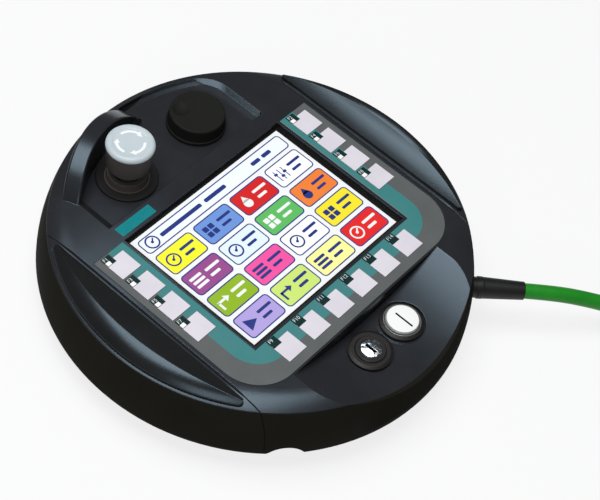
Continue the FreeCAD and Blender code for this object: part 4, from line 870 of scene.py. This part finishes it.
def headShapes(look, left, right, top):
    low = (left + look["edge"], top - look["head"])
    high = (right - look["edge"], top - look["edge"])
    shapes = framed(low, high, look, look["pale"])
    middle, half = (low[1] + high[1]) / 2, look["wordTall"] / 2
    for start, end in look["words"]:
        word = roundBox((start, middle - half), (end, middle + half), look["wordCorner"])
        shapes.append(flat(word, look["navy"], 3))
    return shapes + signShapes("dial", left + look["headSign"], middle, look["navy"], look["pale"])


def tileShapes(look, low, high, fill, sign):
    shapes = framed(low, high, look, fill)
    ink = look["white"] if sum(fill[:3]) < look["darkFill"] else look["navy"]
    middle = (low[1] + high[1]) / 2
    shapes.extend(signShapes(sign, low[0] + look["tileSign"], middle, ink, fill))
    start, half = low[0] + look["barStart"], look["barHalf"]
    for rise, reach in look["bars"]:
        bar = roundBox((start, middle + rise - half), (start + reach, middle + rise + half),
                       look["barCorner"])
        shapes.append(flat(bar, ink, 3))
    return shapes


def addMenu(look):
    left, bottom = look["low"]
    right, top = look["high"]
    columns, rows, edge, space = look["columns"], look["rows"], look["edge"], look["space"]
    shapes = [flat(box(look["low"], look["high"]), look["white"])]
    shapes.extend(headShapes(look, left, right, top))
    wide = (right - left - 2 * edge - (columns - 1) * space) / columns
    tall = (top - look["head"] - space - bottom - edge - (rows - 1) * space) / rows
    kinds = list(signs)
    for row in range(rows):
        for column in range(columns):
            index = row * columns + column
            x = left + edge + column * (wide + space)
            y = top - look["head"] - space - (row + 1) * tall - row * space
            sign = kinds[(index * 3 + row) % len(kinds)]  # mixes the signs up
            fill = look["fills"][index]
            shapes.extend(tileShapes(look, (x, y), (x + wide, y + tall), fill, sign))
    layFlat("screen_picture", shapes, look["glass"], "housing", "screenLight")


screenLook = {
    "cell": 0.000188, "gap": 0.00005, "gapShare": 0.12, "gapColour": (0.05, 0.05, 0.06, 1),
    "glow": 0.18, "smear": (60, 4.0, 0.6), "rough": (0.26, 0.36),
}


def screenFinish(look):
    material, wire, shader = startFinish("screenLight", **{"Emission Strength": look["glow"]})
    colour = wire.node("ShaderNodeVertexColor", {"layer_name": "tint"}, out="Color")
    place = spot(wire)
    cells = [wire.sum("PINGPONG", axisOf(wire, place, axis), look["cell"]) for axis in ("X", "Y")]
    nearest = wire.sum("MINIMUM", *cells)
    gaps = spread(wire, nearest, 0.0, look["gap"], look["gapShare"], 0.0)
    lit = blendColours(wire, gaps, colour, look["gapColour"])
    feed(shader, "Base Color", lit)
    feed(shader, "Emission Color", lit)
    feed(shader, "Roughness", vary(wire, speckle(wire, place, look["smear"]), *look["rough"]))
    return material


finishes["screenLight"] = screenFinish(screenLook)
addMenu(menu)
print("screen drawn")

# Floor and studio light
studio = {
    "floor": {"colour": (0.80, 0.80, 0.80, 1), "rough": 0.9, "half": 4.0, "white": 0.8},
    "sky": (0.10, 0.105, 0.11, 1),
    "softbox": {"place": (-0.10, 0.17, 1.35), "size": 0.88, "power": 17.6, "tint": (0.99, 1.0, 1.0)},
    "fill": {"place": (-0.95, -0.45, 0.75), "size": 0.5, "power": 3.0, "tint": (0.96, 0.98, 1.0)},
}


def floorFinish(look):  # seen as nearly white, and still takes the shadow
    material, wire, shader = startFinish("floor", **{"Base Color": look["colour"],
                                                     "Roughness": look["rough"]})
    rays = [wire.node("ShaderNodeLightPath", out=name)
            for name in ("Is Camera Ray", "Is Glossy Ray", "Is Transmission Ray")]
    seen = wire.sum("MINIMUM", rays[0] + rays[1] + rays[2], 1.0)
    white = wire.node("ShaderNodeEmission", None, {"Color": plain, "Strength": 1.0})
    coverWith(wire, shader, seen * look["white"], white)
    return material


def addFloor(look):
    mesh = bpy.data.meshes.new("floor")
    half = look["half"]
    corners = [(-half, -half, 0), (half, -half, 0), (half, half, 0), (-half, half, 0)]
    mesh.from_pydata(corners, [], [(0, 1, 2, 3)])
    mesh.materials.append(floorFinish(look))
    floor = bpy.data.objects.new("floor", mesh)
    scene.collection.objects.link(floor)


def addLamp(name, look):
    data = bpy.data.lights.new(name, "AREA")
    data.shape = "SQUARE"
    data.size = look["size"]
    data.energy = look["power"]
    data.color = look["tint"]
    lamp = bpy.data.objects.new(name, data)
    lamp.location = look["place"]
    lamp.rotation_euler = (-Vector(look["place"])).to_track_quat("-Z", "Y").to_euler()
    scene.collection.objects.link(lamp)


def addSky(colour):
    world = bpy.data.worlds.new("studio")
    world.use_nodes = True
    world.node_tree.nodes["Background"].inputs["Color"].default_value = colour
    world.node_tree.nodes["Background"].inputs["Strength"].default_value = 1.0
    scene.world = world


addFloor(studio["floor"])
addLamp("softbox", studio["softbox"])
addLamp("fill", studio["fill"])
addSky(studio["sky"])
print("studio lit")
